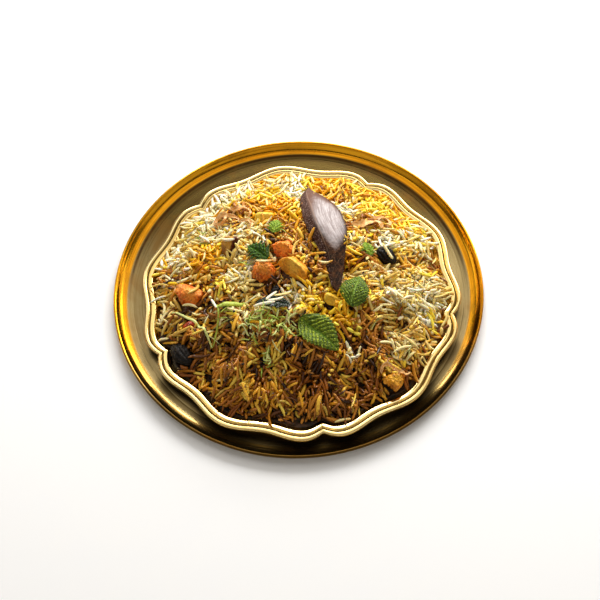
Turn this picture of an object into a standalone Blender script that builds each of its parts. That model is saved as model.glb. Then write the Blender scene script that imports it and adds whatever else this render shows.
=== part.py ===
"""Biryani heaped on a scalloped brass plate, which stands on a round brass tray.

Metres, +Z up. The origin is the centre of the tray's underside, and -Y is the diner's side.
"""
import math

import bmesh
import bpy
from mathutils import Vector

MM = 0.001
GAP = 0.3 * MM                      # left between pieces that touch

# Tray: a flat round sheet with a raised lip
TRAY_RADIUS = 167 * MM
TRAY_HEIGHT = 8.5 * MM
TRAY_SHEET = 1.5 * MM
TRAY_LIP = 9 * MM                   # width of the lip, seen from above
TRAY_SEGMENTS = 64

# Plate: five lobes between five notches, each notch with a small hump on both sides
PLATE_CENTRE = Vector((1.8 * MM, -10.5 * MM, TRAY_SHEET + GAP))
PLATE_RADIUS = 136.5 * MM           # to the top of the outer bead, where the scallop is nought
PLATE_HEIGHT = 11.7 * MM
PLATE_SHEET = 1.5 * MM
LOBES = 5
LOBE_STEP = 360 / LOBES
NOTCH_ANGLE = 59.5                  # direction of the first notch, degrees from +X
HUMP_ANGLE = 7.2                    # from a notch to the top of its hump, degrees
DIP_ANGLE = 20.5                    # from a notch to the dip before the lobe, degrees
NOTCH_DEPTH = 0.9 * MM
HUMP_RISE = 4.9 * MM
LOBE_RISE = 5.8 * MM
SEGMENTS_PER_LOBE = 16

# Rice: a heap that fills the plate's well and rises above its rim
HEAP_TOP = 45 * MM                  # height of the crest above the table
HEAP_EDGE = 11 * MM                 # height where the heap meets the plate
HEAP_RADIUS = PLATE_RADIUS - 8.8 * MM
HEAP_POWER = 2.3                    # 2 gives a parabola, more gives a flatter crest
HEAP_RINGS = 7
LUMP_HEIGHT = 2.4 * MM
LUMP_LENGTH = 70 * MM
RAGGED_EDGE = 2.2 * MM              # how far the rice may stop short of the plate's wall

LEAF_THICKNESS = 0.8 * MM
LEAF_LIFT = 0.8 * MM                # a leaf's underside above the rice
CUT_MARGIN = 0.6 * MM               # how much a pocket in the rice is larger than its piece


def material(name, colour, roughness, metallic=0.0):
    """Principled material with one colour."""
    made = bpy.data.materials.new(name)
    made.use_nodes = True
    shader = made.node_tree.nodes["Principled BSDF"]
    shader.inputs["Base Color"].default_value = (*colour, 1)
    shader.inputs["Roughness"].default_value = roughness
    shader.inputs["Metallic"].default_value = metallic
    return made


def place_mesh(name, finish, mesh, smooth_angle=35):
    """New object from a bmesh, with outward faces and round parts shaded smooth."""
    bmesh.ops.recalc_face_normals(mesh, faces=mesh.faces)
    data = bpy.data.meshes.new(name)
    mesh.to_mesh(data)
    mesh.free()
    data.shade_smooth()
    data.set_sharp_from_angle(angle=math.radians(smooth_angle))
    data.materials.append(finish)
    piece = bpy.data.objects.new(name, data)
    bpy.context.scene.collection.objects.link(piece)
    return piece


def ringed_solid(name, finish, rings):
    """Closed solid through a list of rings of points. A ring of one point is a pole."""
    mesh = bmesh.new()
    loops = [[mesh.verts.new(point) for point in ring] for ring in rings]
    for first, second in zip(loops, loops[1:]):
        count = max(len(first), len(second))
        for i in range(count):
            j = (i + 1) % count
            corners = (first[i % len(first)], first[j % len(first)],
                       second[j % len(second)], second[i % len(second)])
            mesh.faces.new(list(dict.fromkeys(corners)))
    return place_mesh(name, finish, mesh)


def scallop(angle):
    """Change of the plate's radius at an angle in degrees: a cusp, a hump, a dip and a lobe."""
    t = abs((angle - NOTCH_ANGLE + LOBE_STEP / 2) % LOBE_STEP - LOBE_STEP / 2)
    if t < HUMP_ANGLE:
        return (HUMP_RISE + NOTCH_DEPTH) * math.sin(math.pi / 2 * t / HUMP_ANGLE) - NOTCH_DEPTH
    if t < DIP_ANGLE:
        fall = (t - HUMP_ANGLE) / (DIP_ANGLE - HUMP_ANGLE)
        return HUMP_RISE * (1 + math.cos(math.pi * fall)) / 2
    rise = (t - DIP_ANGLE) / (LOBE_STEP / 2 - DIP_ANGLE)
    return LOBE_RISE * (1 - math.cos(math.pi * rise)) / 2


def plate_point(radius, height, angle, share):
    """Point on the plate, whose radius takes a share of the scallop."""
    reach = radius + share * scallop(angle)
    turn = math.radians(angle)
    return PLATE_CENTRE + Vector((reach * math.cos(turn), reach * math.sin(turn), height))


def plate_angles():
    """Directions of the plate's segments, with one on each notch."""
    count = LOBES * SEGMENTS_PER_LOBE
    return [NOTCH_ANGLE + 360 * i / count for i in range(count)]


def lumps(x, y):
    """Gentle unevenness of the heap, from three crossing waves, between -1 and 1."""
    across = math.tau / LUMP_LENGTH
    a = math.sin(across * x + 0.8) * math.cos(across * 0.8 * y)
    b = math.sin(across * 0.9 * (x + y) + 2.1)
    c = math.cos(across * 0.7 * (x - 1.6 * y) + 0.4)
    return (a + b + c) / 3


def heap_reach(angle):
    """Radius of the rice at an angle in degrees: the scalloped wall, less a ragged share."""
    turn = math.radians(angle)
    ragged = (2 + math.sin(4 * turn + 1) + math.sin(11 * turn)) / 4
    return HEAP_RADIUS + scallop(angle) - RAGGED_EDGE * ragged


def heap_height(x, y):
    """Height of the rice at a place measured from the plate's centre: a dome whose share of the way
    out is raised to HEAP_POWER, with lumps that die away towards the edge. It is round at the crest
    and takes the plate's outline below."""
    out = math.hypot(x, y)
    lobed = min(1, out / HEAP_RADIUS) ** 3
    reach = HEAP_RADIUS + lobed * (heap_reach(math.degrees(math.atan2(y, x))) - HEAP_RADIUS)
    share = min(1, out / reach)
    dome = HEAP_EDGE + (HEAP_TOP - HEAP_EDGE) * (1 - share ** HEAP_POWER)
    return dome + LUMP_HEIGHT * lumps(x, y) * (1 - share ** 4)


def on_heap(x, y, lift=0.0):
    """Point above the rice by a given lift, with x and y in millimetres from the plate's centre."""
    height = heap_height(x * MM, y * MM)
    return Vector((PLATE_CENTRE.x + x * MM, PLATE_CENTRE.y + y * MM, height + lift))


def make_tray(brass):
    """Flat sheet turned up into a lip with a rolled edge."""
    foot = TRAY_RADIUS - TRAY_LIP
    roll = 1.6 * MM
    profile = (
        (0, 0),
        (foot - 2 * MM, 0),
        (foot + 3 * MM, 1.6 * MM),
        (TRAY_RADIUS - 1.2 * MM, TRAY_HEIGHT - 2 * roll),
        (TRAY_RADIUS, TRAY_HEIGHT - roll),
        (TRAY_RADIUS - 0.4 * MM, TRAY_HEIGHT - 0.3 * MM),
        (TRAY_RADIUS - roll, TRAY_HEIGHT),
        (TRAY_RADIUS - 2.1 * roll, TRAY_HEIGHT - 0.8 * MM),
        (foot + 1.5 * MM, TRAY_SHEET + 1.3 * MM),
        (foot - 3 * MM, TRAY_SHEET),
        (0, TRAY_SHEET),
    )
    turns = [math.tau * i / TRAY_SEGMENTS for i in range(TRAY_SEGMENTS)]
    rings = []
    for radius, height in profile:
        directions = turns if radius else turns[:1]
        rings.append([(radius * math.cos(t), radius * math.sin(t), height) for t in directions])
    return ringed_solid("tray", brass, rings)


def make_plate(brass):
    """Shallow well, a sloping wall and a rim of two beads over a turned-down skirt."""
    bead = PLATE_RADIUS
    top = PLATE_HEIGHT
    profile = (                                   # radius, height, share of the scallop
        (0, 0, 0),
        (bead - 34 * MM, 0, 0),
        (bead - 22 * MM, 1.4 * MM, 0.5),
        (bead - 12 * MM, 4.8 * MM, 0.9),
        (bead - 5 * MM, top - 2.2 * MM, 1),       # under the beads
        (bead - 1 * MM, top - 2.2 * MM, 1),
        (bead - 0.2 * MM, top - 6.6 * MM, 1),     # inside of the skirt
        (bead + 1.2 * MM, top - 6.6 * MM, 1),
        (bead + 1.8 * MM, top - 1.5 * MM, 1),     # outside of the skirt
        (bead, top, 1),                           # outer bead
        (bead - 2 * MM, top - 1 * MM, 1),         # groove
        (bead - 4.8 * MM, top + 0.2 * MM, 1),     # inner bead
        (bead - 7 * MM, top - 1 * MM, 1),
        (bead - 11 * MM, top - 5.4 * MM, 0.9),    # wall of the well
        (bead - 20 * MM, PLATE_SHEET + 1.6 * MM, 0.5),
        (bead - 32 * MM, PLATE_SHEET, 0),
        (0, PLATE_SHEET, 0),
    )
    rings = []
    for radius, height, share in profile:
        directions = plate_angles() if radius else [0]
        rings.append([plate_point(radius, height, angle, share) for angle in directions])
    return ringed_solid("plate", brass, rings)


def make_rice(rice):
    """Dome on top, with a side and an underside that follow the plate's well at a small gap."""
    angles = plate_angles()
    rings = [[on_heap(0, 0)]]
    for i in range(1, HEAP_RINGS + 1):
        ring = []
        for angle in angles:
            turn = math.radians(angle)
            reach = heap_reach(angle) / MM * i / HEAP_RINGS
            ring.append(on_heap(reach * math.cos(turn), reach * math.sin(turn)))
        rings.append(ring)
    clear = 0.5 * MM                              # across the wall, which leaves the gap square to it
    side = (
        (PLATE_RADIUS - 11 * MM - clear, PLATE_HEIGHT - 5.2 * MM, 0.9),
        (PLATE_RADIUS - 20 * MM - clear, PLATE_SHEET + 2.1 * MM, 0.5),
        (PLATE_RADIUS - 32 * MM, PLATE_SHEET + GAP, 0),
    )
    for radius, height, share in side:
        rings.append([plate_point(radius, height, angle, share) for angle in angles])
    rings.append([PLATE_CENTRE + Vector((0, 0, PLATE_SHEET + GAP))])
    return ringed_solid("rice", rice, rings)


def make_pocket(rice, piece):
    """Cuts the rice away round a piece that is partly sunk in it."""
    cutter = bpy.data.objects.new(piece.name + "_pocket", piece.data)
    bpy.context.scene.collection.objects.link(cutter)
    cutter.matrix_world = piece.matrix_world
    cutter.hide_render = True
    cutter.display_type = "WIRE"
    swell = cutter.modifiers.new("swell", "DISPLACE")
    swell.strength = CUT_MARGIN
    swell.mid_level = 0
    cut = rice.modifiers.new(piece.name, "BOOLEAN")
    cut.operation = "DIFFERENCE"
    cut.solver = "EXACT"
    cut.object = cutter


def cut_round(name, finish, size, cuts, place, turn):
    """Ellipsoid of a given size in millimetres with flat cuts, each a plane's normal and its
    distance out, as a share of the half size."""
    mesh = bmesh.new()
    bmesh.ops.create_uvsphere(mesh, u_segments=10, v_segments=6, radius=1)
    for normal, share in cuts:
        normal = Vector(normal).normalized()
        found = bmesh.ops.bisect_plane(
            mesh, geom=mesh.verts[:] + mesh.edges[:] + mesh.faces[:],
            plane_co=normal * share, plane_no=normal, clear_outer=True)
        rim = [item for item in found["geom_cut"] if isinstance(item, bmesh.types.BMEdge)]
        bmesh.ops.edgeloop_fill(mesh, edges=rim)
    bmesh.ops.scale(mesh, vec=Vector(size) * MM / 2, verts=mesh.verts)
    piece = place_mesh(name, finish, mesh)
    piece.location = place
    piece.rotation_euler = [math.radians(a) for a in turn]
    bpy.context.view_layer.update()
    return piece


def make_pod(name, finish, length, width, place, turn, ribs=6):
    """Ribbed seed pod: a spindle along X whose radius swells between its ribs."""
    count = ribs * 2
    rings = [[(-length / 2, 0, 0)]]
    for i in range(1, 7):
        out = i / 7
        radius = width / 2 * math.sin(math.pi * out) ** 0.7
        ring = []
        for j in range(count):
            t = math.tau * j / count
            swell = radius * (1.0 if j % 2 else 0.86)
            ring.append((length * (out - 0.5), swell * math.cos(t), swell * math.sin(t)))
        rings.append(ring)
    rings.append([(length / 2, 0, 0)])
    pod = ringed_solid(name, finish, rings)
    pod.location = place
    pod.rotation_euler = [math.radians(a) for a in turn]
    bpy.context.view_layer.update()
    return pod


def sheet_solid(name, finish, rows, thickness):
    """Grid of points, given as rows, thickened upwards into a closed sheet."""
    mesh = bmesh.new()
    grid = [[mesh.verts.new(point) for point in row] for row in rows]
    for first, second in zip(grid, grid[1:]):
        for i in range(len(first) - 1):
            mesh.faces.new((first[i], first[i + 1], second[i + 1], second[i]))
    data = bpy.data.meshes.new(name)
    mesh.to_mesh(data)
    mesh.free()
    if data.polygons[0].normal.z < 0:
        data.flip_normals()
    data.shade_smooth()
    data.materials.append(finish)
    sheet = bpy.data.objects.new(name, data)
    bpy.context.scene.collection.objects.link(sheet)
    wall = sheet.modifiers.new("thickness", "SOLIDIFY")
    wall.thickness = thickness
    wall.offset = 1
    return sheet


def make_leaf(name, finish, base, tip, width, ridge=2.0, arch=0.0, widest=0.5, rows=9, columns=5):
    """Blade over the rice from base to tip, in millimetres. Its half width is a sine that peaks
    at the widest point, the midrib stands proud by ridge and the middle rises by arch."""
    base = Vector(base)
    along = Vector(tip) - base
    across = Vector((-along.y, along.x)).normalized()
    skew = math.log(0.5) / math.log(widest)
    points = []
    for i in range(rows):
        s = 0.02 + 0.96 * i / (rows - 1)
        half = width / 2 * math.sin(math.pi * s ** skew) ** 0.8
        row = []
        for j in range(columns):
            t = 2 * j / (columns - 1) - 1
            spot = base + along * s + across * half * t
            rise = ridge * (1 - abs(t)) * math.sin(math.pi * s) + arch * math.sin(math.pi * s)
            row.append(on_heap(spot.x, spot.y, LEAF_LIFT + rise * MM))
        points.append(row)
    return sheet_solid(name, finish, points, LEAF_THICKNESS)


def make_ribbon(name, finish, centre, radius, span, width, cup=1.5, rows=9, columns=4):
    """Curled strip over the rice, in millimetres: an arc round a centre through a span of
    degrees, whose width tapers to both ends and whose middle cups upwards."""
    points = []
    for i in range(rows):
        s = i / (rows - 1)
        turn = math.radians(span[0] + (span[1] - span[0]) * s)
        half = width / 2 * (0.35 + 0.65 * math.sin(math.pi * s))
        row = []
        for j in range(columns):
            t = 2 * j / (columns - 1) - 1
            reach = radius + half * t
            x = centre[0] + reach * math.cos(turn)
            y = centre[1] + reach * math.sin(turn)
            row.append(on_heap(x, y, LEAF_LIFT + cup * (1 - t * t) * MM))
        points.append(row)
    return sheet_solid(name, finish, points, 1.2 * MM)


def make_leaves():
    """The bay leaf, the fresh mint, the young herb tops and one cooked leaf."""
    bay = material("bay leaf", (0.09, 0.045, 0.025), 0.35)
    mint = material("mint", (0.09, 0.24, 0.04), 0.55)
    young = material("young herb", (0.22, 0.38, 0.07), 0.55)
    cooked = material("cooked leaf", (0.02, 0.035, 0.015), 0.4)
    make_leaf("bay_leaf", bay, (34, -21.5), (7, 103.5), 37, ridge=4, arch=3, widest=0.47, rows=13)
    make_leaf("mint_leaf_1", mint, (-1, -46.5), (30, -73.5), 28, ridge=3, arch=1.5, widest=0.45)
    make_leaf("mint_leaf_2", mint, (42, -36.5), (51, -6.5), 23, ridge=2.5, arch=1.5)
    make_leaf("mint_leaf_3", mint, (-27, 20.5), (-44, 29.5), 16, ridge=2, arch=1, rows=7)
    make_leaf("herb_top_1", young, (-21, 43.5), (-17, 60.5), 12, ridge=1.5, arch=1, rows=6)
    make_leaf("herb_top_2", young, (64, 16.5), (59, 31.5), 9, ridge=1.5, arch=1, rows=6)
    make_leaf("cooked_leaf", cooked, (-9, -32.5), (-39, -28.5), 14, ridge=1.5, arch=1, rows=8)


def make_vegetables(rice):
    """Chunks that lie half sunk in the rice, each with the pocket that holds it."""
    potato = material("potato", (0.62, 0.36, 0.06), 0.45)
    carrot = material("carrot", (0.72, 0.20, 0.03), 0.4)
    pepper = material("pepper", (0.75, 0.47, 0.05), 0.4)
    chilli = material("chilli", (0.45, 0.07, 0.02), 0.4)
    chunks = (
        cut_round("potato_1", potato, (36, 26, 26), (((0, -0.8, 0.6), 0.45), ((0.2, 0.8, 0.6), 0.6)),
                  on_heap(-5, 2.5, 1 * MM), (0, 0, -32)),
        cut_round("potato_2", potato, (25, 19, 16), (((0.3, -0.6, 0.7), 0.6), ((-0.9, 0, 0.3), 0.7)),
                  on_heap(75, -95.5, 1 * MM), (0, 12, 20)),
        cut_round("potato_3", potato, (13, 19, 15), (((0.9, -0.2, 0.4), 0.5), ((-0.5, -0.6, 0.6), 0.6)),
                  on_heap(-60, 37.5, 1 * MM), (0, 0, -12)),
        cut_round("potato_4", potato, (19, 11, 11), (((0, -0.7, 0.7), 0.5), ((0.2, 0.6, 0.7), 0.7)),
                  on_heap(-29, 68.5, 1 * MM), (0, 0, 6)),
        cut_round("carrot_1", carrot, (31, 19, 19), (((1, 0, 0.1), 0.8), ((-1, 0.2, 0.1), 0.8)),
                  on_heap(-97, -5.5, 2 * MM), (0, -12, -4)),
        cut_round("carrot_2", carrot, (26, 18, 17), (((0.1, -0.8, 0.6), 0.45), ((-1, 0, 0.2), 0.75)),
                  on_heap(-13, 27.5, 1.5 * MM), (0, 0, -18)),
        cut_round("carrot_3", carrot, (22, 20, 18), (((0, -0.9, 0.45), 0.5), ((0.9, 0.3, 0.2), 0.6),
                                                     ((-0.9, 0.2, 0.3), 0.6)),
                  on_heap(-31, 3.5, 1.5 * MM), (0, 0, 12)),
        cut_round("pepper", pepper, (17, 12, 10), (((0, -0.7, 0.7), 0.55),),
                  on_heap(28, -27.5, 1 * MM), (0, 0, -15)),
        cut_round("chilli", chilli, (13, 9, 8), (((0.2, -0.7, 0.6), 0.5),),
                  on_heap(-97, -35.5, 0.5 * MM), (0, -10, 10)),
    )
    for chunk in chunks:
        make_pocket(rice, chunk)


def make_spices(rice):
    """Black cardamom pods, half sunk in the rice."""
    pod = material("black cardamom", (0.03, 0.016, 0.01), 0.5)
    pods = (
        make_pod("cardamom_1", pod, 20 * MM, 14 * MM, on_heap(78, 20.5, 0.5 * MM), (0, 14, -38)),
        make_pod("cardamom_2", pod, 27 * MM, 16 * MM, on_heap(-105, -58.5, 0), (0, -14, -55)),
        make_pod("cardamom_3", pod, 14 * MM, 11 * MM, on_heap(-20, -16.5, 0.4 * MM), (8, 0, 64)),
    )
    for item in pods:
        make_pocket(rice, item)


def make_fried_onions():
    """Curled brown strips of fried onion."""
    onion = material("fried onion", (0.45, 0.2, 0.05), 0.4)
    make_ribbon("onion_1", onion, (64, 36.5), 20, (135, 50), 8)
    make_ribbon("onion_2", onion, (-62, 64.5), 11, (200, 20), 7)
    make_ribbon("onion_3", onion, (-53, 89.5), 7.5, (-10, -170), 6)


def make_all():
    """Clears the scene and builds every piece."""
    for item in list(bpy.data.objects):
        bpy.data.objects.remove(item, do_unlink=True)
    brass = material("brass", (0.62, 0.42, 0.12), 0.25, metallic=1.0)
    make_tray(brass)
    make_plate(brass)
    rice = make_rice(material("rice", (0.75, 0.55, 0.22), 0.6))
    make_leaves()
    make_vegetables(rice)
    make_spices(rice)
    make_fried_onions()


make_all()
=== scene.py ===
import math
import time
import bpy
import numpy as np
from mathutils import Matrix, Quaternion, Vector


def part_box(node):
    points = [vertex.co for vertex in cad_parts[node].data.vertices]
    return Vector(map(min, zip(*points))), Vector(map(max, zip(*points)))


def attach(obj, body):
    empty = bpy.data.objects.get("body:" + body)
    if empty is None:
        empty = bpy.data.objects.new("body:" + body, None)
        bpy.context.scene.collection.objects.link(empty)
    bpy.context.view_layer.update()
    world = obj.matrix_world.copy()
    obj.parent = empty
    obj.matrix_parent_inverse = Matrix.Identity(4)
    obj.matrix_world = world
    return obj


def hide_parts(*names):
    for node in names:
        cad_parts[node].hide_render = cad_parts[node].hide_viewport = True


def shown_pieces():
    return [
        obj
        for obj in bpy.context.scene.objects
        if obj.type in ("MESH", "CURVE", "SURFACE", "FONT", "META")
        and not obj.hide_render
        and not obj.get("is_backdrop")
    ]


started = time.time()
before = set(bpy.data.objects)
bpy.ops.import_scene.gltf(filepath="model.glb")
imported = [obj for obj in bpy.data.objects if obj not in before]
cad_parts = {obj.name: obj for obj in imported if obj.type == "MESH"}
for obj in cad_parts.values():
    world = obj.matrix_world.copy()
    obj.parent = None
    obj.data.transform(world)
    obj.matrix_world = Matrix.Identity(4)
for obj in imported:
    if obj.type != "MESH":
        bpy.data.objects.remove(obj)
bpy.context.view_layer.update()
mm = 0.001
rng = np.random.default_rng(41)


def report(stage):
    print(f"{time.time() - started:6.1f} s  {stage}")


# the plate's outline: five lobes between five notches, each notch with a small hump on both sides
dish = {
    "lobes": 5, "notchAngle": 59.5, "humpAngle": 7.2, "dipAngle": 20.5,
    "notchDepth": 0.9, "humpRise": 4.9, "lobeRise": 5.8, "radius": 136.5, "widest": 138.3,
}


def scallop(turn):
    # outline's distance outside its circle at an angle in degrees: a quarter sine up the hump, half a
    # cosine wave down to the dip, and another up to the lobe
    pitch = 360 / dish["lobes"]
    t = np.abs((turn - dish["notchAngle"] + pitch / 2) % pitch - pitch / 2)
    hump, dip = dish["humpAngle"], dish["dipAngle"]
    rise = dish["humpRise"] + dish["notchDepth"]
    near = rise * np.sin(np.pi / 2 * np.minimum(t, hump) / hump) - dish["notchDepth"]
    middle = dish["humpRise"] * (1 + np.cos(np.pi * (t - hump) / (dip - hump))) / 2
    far = dish["lobeRise"] * (1 - np.cos(np.pi * (t - dip) / (pitch / 2 - dip))) / 2
    return np.where(t < hump, near, np.where(t < dip, middle, far))


def findPlateCentre():
    # middle of the CAD plate's box, less the middle of the outline's own box
    turns = np.radians(np.arange(1440) / 4)
    outline = (dish["widest"] + scallop(np.degrees(turns))) * np.array([np.cos(turns), np.sin(turns)])
    low, high = (np.array(corner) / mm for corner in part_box("plate"))
    middle = (low + high)[:2] / 2 - (outline.max(1) + outline.min(1)) / 2
    return np.array([*middle, 0.0])


# from here on, places are in mm from the plate's centre, with height from the table
centre = findPlateCentre()


def boxOf(node):
    # lowest and highest corner of a CAD node
    return [np.array(corner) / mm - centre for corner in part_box(node)]


shot = {
    "target": (-1.6, 1.7, 13.5), "distance": 1029, "elevation": 58.6, "roll": -2.95,
    "lens": 69, "sensor": 36, "shiftX": 0.0027, "shiftY": -0.0145,
}


def placeCamera():
    # looks from the diner's side down at the target, turned a little round its own axis
    tilt = math.radians(shot["elevation"])
    back = Vector((0, -math.cos(tilt), math.sin(tilt)))
    camera = bpy.data.objects.new("camera", bpy.data.cameras.new("camera"))
    camera.location = (Vector(centre) + Vector(shot["target"]) + back * shot["distance"]) * mm
    camera.rotation_mode = "QUATERNION"
    roll = Quaternion((0, 0, 1), math.radians(shot["roll"]))
    camera.rotation_quaternion = (-back).to_track_quat("-Z", "Y") @ roll
    camera.data.lens = shot["lens"]
    camera.data.sensor_width = shot["sensor"]
    camera.data.shift_x = shot["shiftX"]
    camera.data.shift_y = shot["shiftY"]
    bpy.context.scene.collection.objects.link(camera)
    bpy.context.scene.camera = camera


# each lamp: its place, the height it aims at over the middle, its width and height, all in m; its watts;
# and its green and blue beside a full red
lamps = {
    "window": {"place": (0.3, 1.14, 0.76), "aim": 0.02, "size": (1.5, 0.66),
               "watts": 33, "tint": (0.97, 0.92)},
    "overhead": {"place": (0, 0.55, 1.45), "aim": 0.02, "size": (1.7, 1.1),
                 "watts": 7.5, "tint": (0.96, 0.9)},
    "low": {"place": (-0.1, 1.5, 0.17), "aim": 0.02, "size": (2.4, 0.34),
            "watts": 3.0, "tint": (0.95, 0.86)},
    "left": {"place": (-1.05, 0.78, 0.72), "aim": 0.02, "size": (0.5, 0.6),
             "watts": 1.6, "tint": (0.94, 0.84)},
    "right": {"place": (1.05, 0.78, 0.72), "aim": 0.02, "size": (0.5, 0.6),
              "watts": 2.0, "tint": (0.94, 0.84)},
    "front": {"place": (-0.1, -0.9, 1.14), "aim": 0, "size": (2.2, 1.1),
              "watts": 4.2, "tint": (0.93, 0.82)},
    "wallLeft": {"place": (-1.45, -0.5, 0.95), "aim": 0, "size": (1.3, 0.9),
                 "watts": 1.2, "tint": (0.93, 0.82)},
    "wallRight": {"place": (1.45, -0.5, 0.95), "aim": 0, "size": (1.3, 0.9),
                  "watts": 1.9, "tint": (0.93, 0.82)},
}
room = {"colour": (0.70, 0.61, 0.46, 1), "strength": 0.14}


def placeLights():
    # a rectangle of light for each lamp, turned to its aim, in an evenly lit room
    for name, lamp in lamps.items():
        light = bpy.data.lights.new(name, "AREA")
        light.shape = "RECTANGLE"
        light.size, light.size_y = lamp["size"]
        light.energy = lamp["watts"]
        light.color = (1.0, *lamp["tint"])
        holder = bpy.data.objects.new(name, light)
        holder.location = lamp["place"]
        holder.rotation_mode = "QUATERNION"
        towards = Vector((0, 0, lamp["aim"])) - Vector(lamp["place"])
        holder.rotation_quaternion = towards.to_track_quat("-Z", "Y")
        bpy.context.scene.collection.objects.link(holder)
    world = bpy.data.worlds.new("room")
    world.use_nodes = True
    background = world.node_tree.nodes["Background"].inputs
    background["Color"].default_value = room["colour"]
    background["Strength"].default_value = room["strength"]
    bpy.context.scene.world = world
    bpy.context.scene.view_settings.view_transform = "Standard"


placeCamera()
placeLights()
report("camera and lights placed")


def setInputs(tree, node, inputs):
    # links an input that is given a socket, and sets one that is given a value
    for key, value in inputs.items():
        if isinstance(value, bpy.types.NodeSocket):
            tree.links.new(value, node.inputs[key])
        else:
            node.inputs[key].default_value = value
    return node


def addNode(tree, kind, inputs=None, **settings):
    # makes a node with its options and its inputs
    node = tree.nodes.new(kind)
    for key, value in settings.items():
        setattr(node, key, value)
    return setInputs(tree, node, inputs or {})


def noise(tree, place, scale, detail=3.0, rough=0.5, warp=0.0):
    node = addNode(tree, "ShaderNodeTexNoise", {
        "Vector": place, "Scale": scale, "Detail": detail, "Roughness": rough, "Distortion": warp})
    return node.outputs["Fac"]


def blend(tree, share, first, second):
    # from the first colour to the second; these are the numbers of the node's colour sockets
    return addNode(tree, "ShaderNodeMix", {0: share, 6: first, 7: second}, data_type="RGBA").outputs[2]


def spread(tree, value, low, high, toLow=0.0, toHigh=1.0):
    # takes low..high to toLow..toHigh along a smooth step
    return addNode(tree, "ShaderNodeMapRange", {
        "Value": value, "From Min": low, "From Max": high, "To Min": toLow, "To Max": toHigh},
        interpolation_type="SMOOTHSTEP").outputs["Result"]


def calc(tree, operation, first, second=0.0):
    return addNode(tree, "ShaderNodeMath", {0: first, 1: second}, operation=operation).outputs[0]


def times(tree, first, second):
    return calc(tree, "MULTIPLY", first, second)


def plus(tree, first, second):
    return calc(tree, "ADD", first, second)


def vectorCalc(tree, operation, first, second=(0, 0, 0), output=0):
    return addNode(tree, "ShaderNodeVectorMath", {0: first, 1: second}, operation=operation).outputs[output]


def objectPlace(tree):
    return addNode(tree, "ShaderNodeTexCoord").outputs["Object"]


def pointValue(tree, name, output="Fac"):
    return addNode(tree, "ShaderNodeAttribute", attribute_name=name).outputs[output]


socketKinds = {"float": "NodeSocketFloat", "colour": "NodeSocketColor", "vector": "NodeSocketVector"}


def newGroup(name, inputs, outputs):
    # a shader node group with named sockets; returns its tree, its input sockets and its output node
    tree = bpy.data.node_groups.new(name, "ShaderNodeTree")
    for label, kind in inputs.items():
        tree.interface.new_socket(name=label, in_out="INPUT", socket_type=socketKinds[kind])
    for label, kind in outputs.items():
        tree.interface.new_socket(name=label, in_out="OUTPUT", socket_type=socketKinds[kind])
    return tree, tree.nodes.new("NodeGroupInput").outputs, tree.nodes.new("NodeGroupOutput")


def finishGroup(tree, out, values):
    for label, socket in values.items():
        tree.links.new(socket, out.inputs[label])
    return tree


def useGroup(tree, group, inputs):
    node = tree.nodes.new("ShaderNodeGroup")
    node.node_tree = group
    return setInputs(tree, node, inputs).outputs


def newFinish(name, fixed=None):
    # a material with one Principled shader, whose even values are set on its own sockets
    finish = bpy.data.materials.new(name)
    finish.use_nodes = True
    tree = finish.node_tree
    return finish, tree, setInputs(tree, tree.nodes["Principled BSDF"], fixed or {})


def connect(tree, shader, tone, rough, height, depth, strength):
    # gives the shader its colour, its roughness and a bump of a depth in m
    bump = addNode(tree, "ShaderNodeBump", {"Height": height, "Distance": depth, "Strength": strength})
    setInputs(tree, shader, {"Base Color": tone, "Roughness": rough, "Normal": bump.outputs["Normal"]})


def rgb(red, green, blue):
    # a colour given as it looks on screen, 0 to 255, turned to the renderer's own linear values
    share = np.array([red, green, blue]) / 255
    linear = np.where(share <= 0.04045, share / 12.92, ((share + 0.055) / 1.055) ** 2.4)
    return (*[float(part) for part in linear], 1.0)


def gridQuads(rows, cols, wrapCols=False):
    # one face between each grid point and its next neighbours, round the seam where the columns wrap
    row = np.arange(rows - 1)[:, None]
    col = np.arange(cols if wrapCols else cols - 1)[None, :]
    beside = (col + 1) % cols
    faces = [row * cols + col, row * cols + beside, (row + 1) * cols + beside, (row + 1) * cols + col]
    return np.stack([np.broadcast_to(face, (rows - 1, col.shape[1])) for face in faces], -1).reshape(-1, 4)


def tubeFaces(rows, cols):
    # faces of a closed tube: rings joined in turn, then a fan to a pole at either end;
    # the two poles are the points after the rings
    around = np.arange(cols)
    beside = (around + 1) % cols
    first, last = np.full(cols, rows * cols), np.full(cols, rows * cols + 1)
    fans = np.vstack([np.stack([first, beside, around], -1),
                      np.stack([last, (rows - 1) * cols + around, (rows - 1) * cols + beside], -1)])
    return gridQuads(rows, cols, wrapCols=True), fans


def pieceName(node, ending):
    # a new piece is called after the CAD node that it stands for
    return node.replace("_", "") + ending


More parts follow.
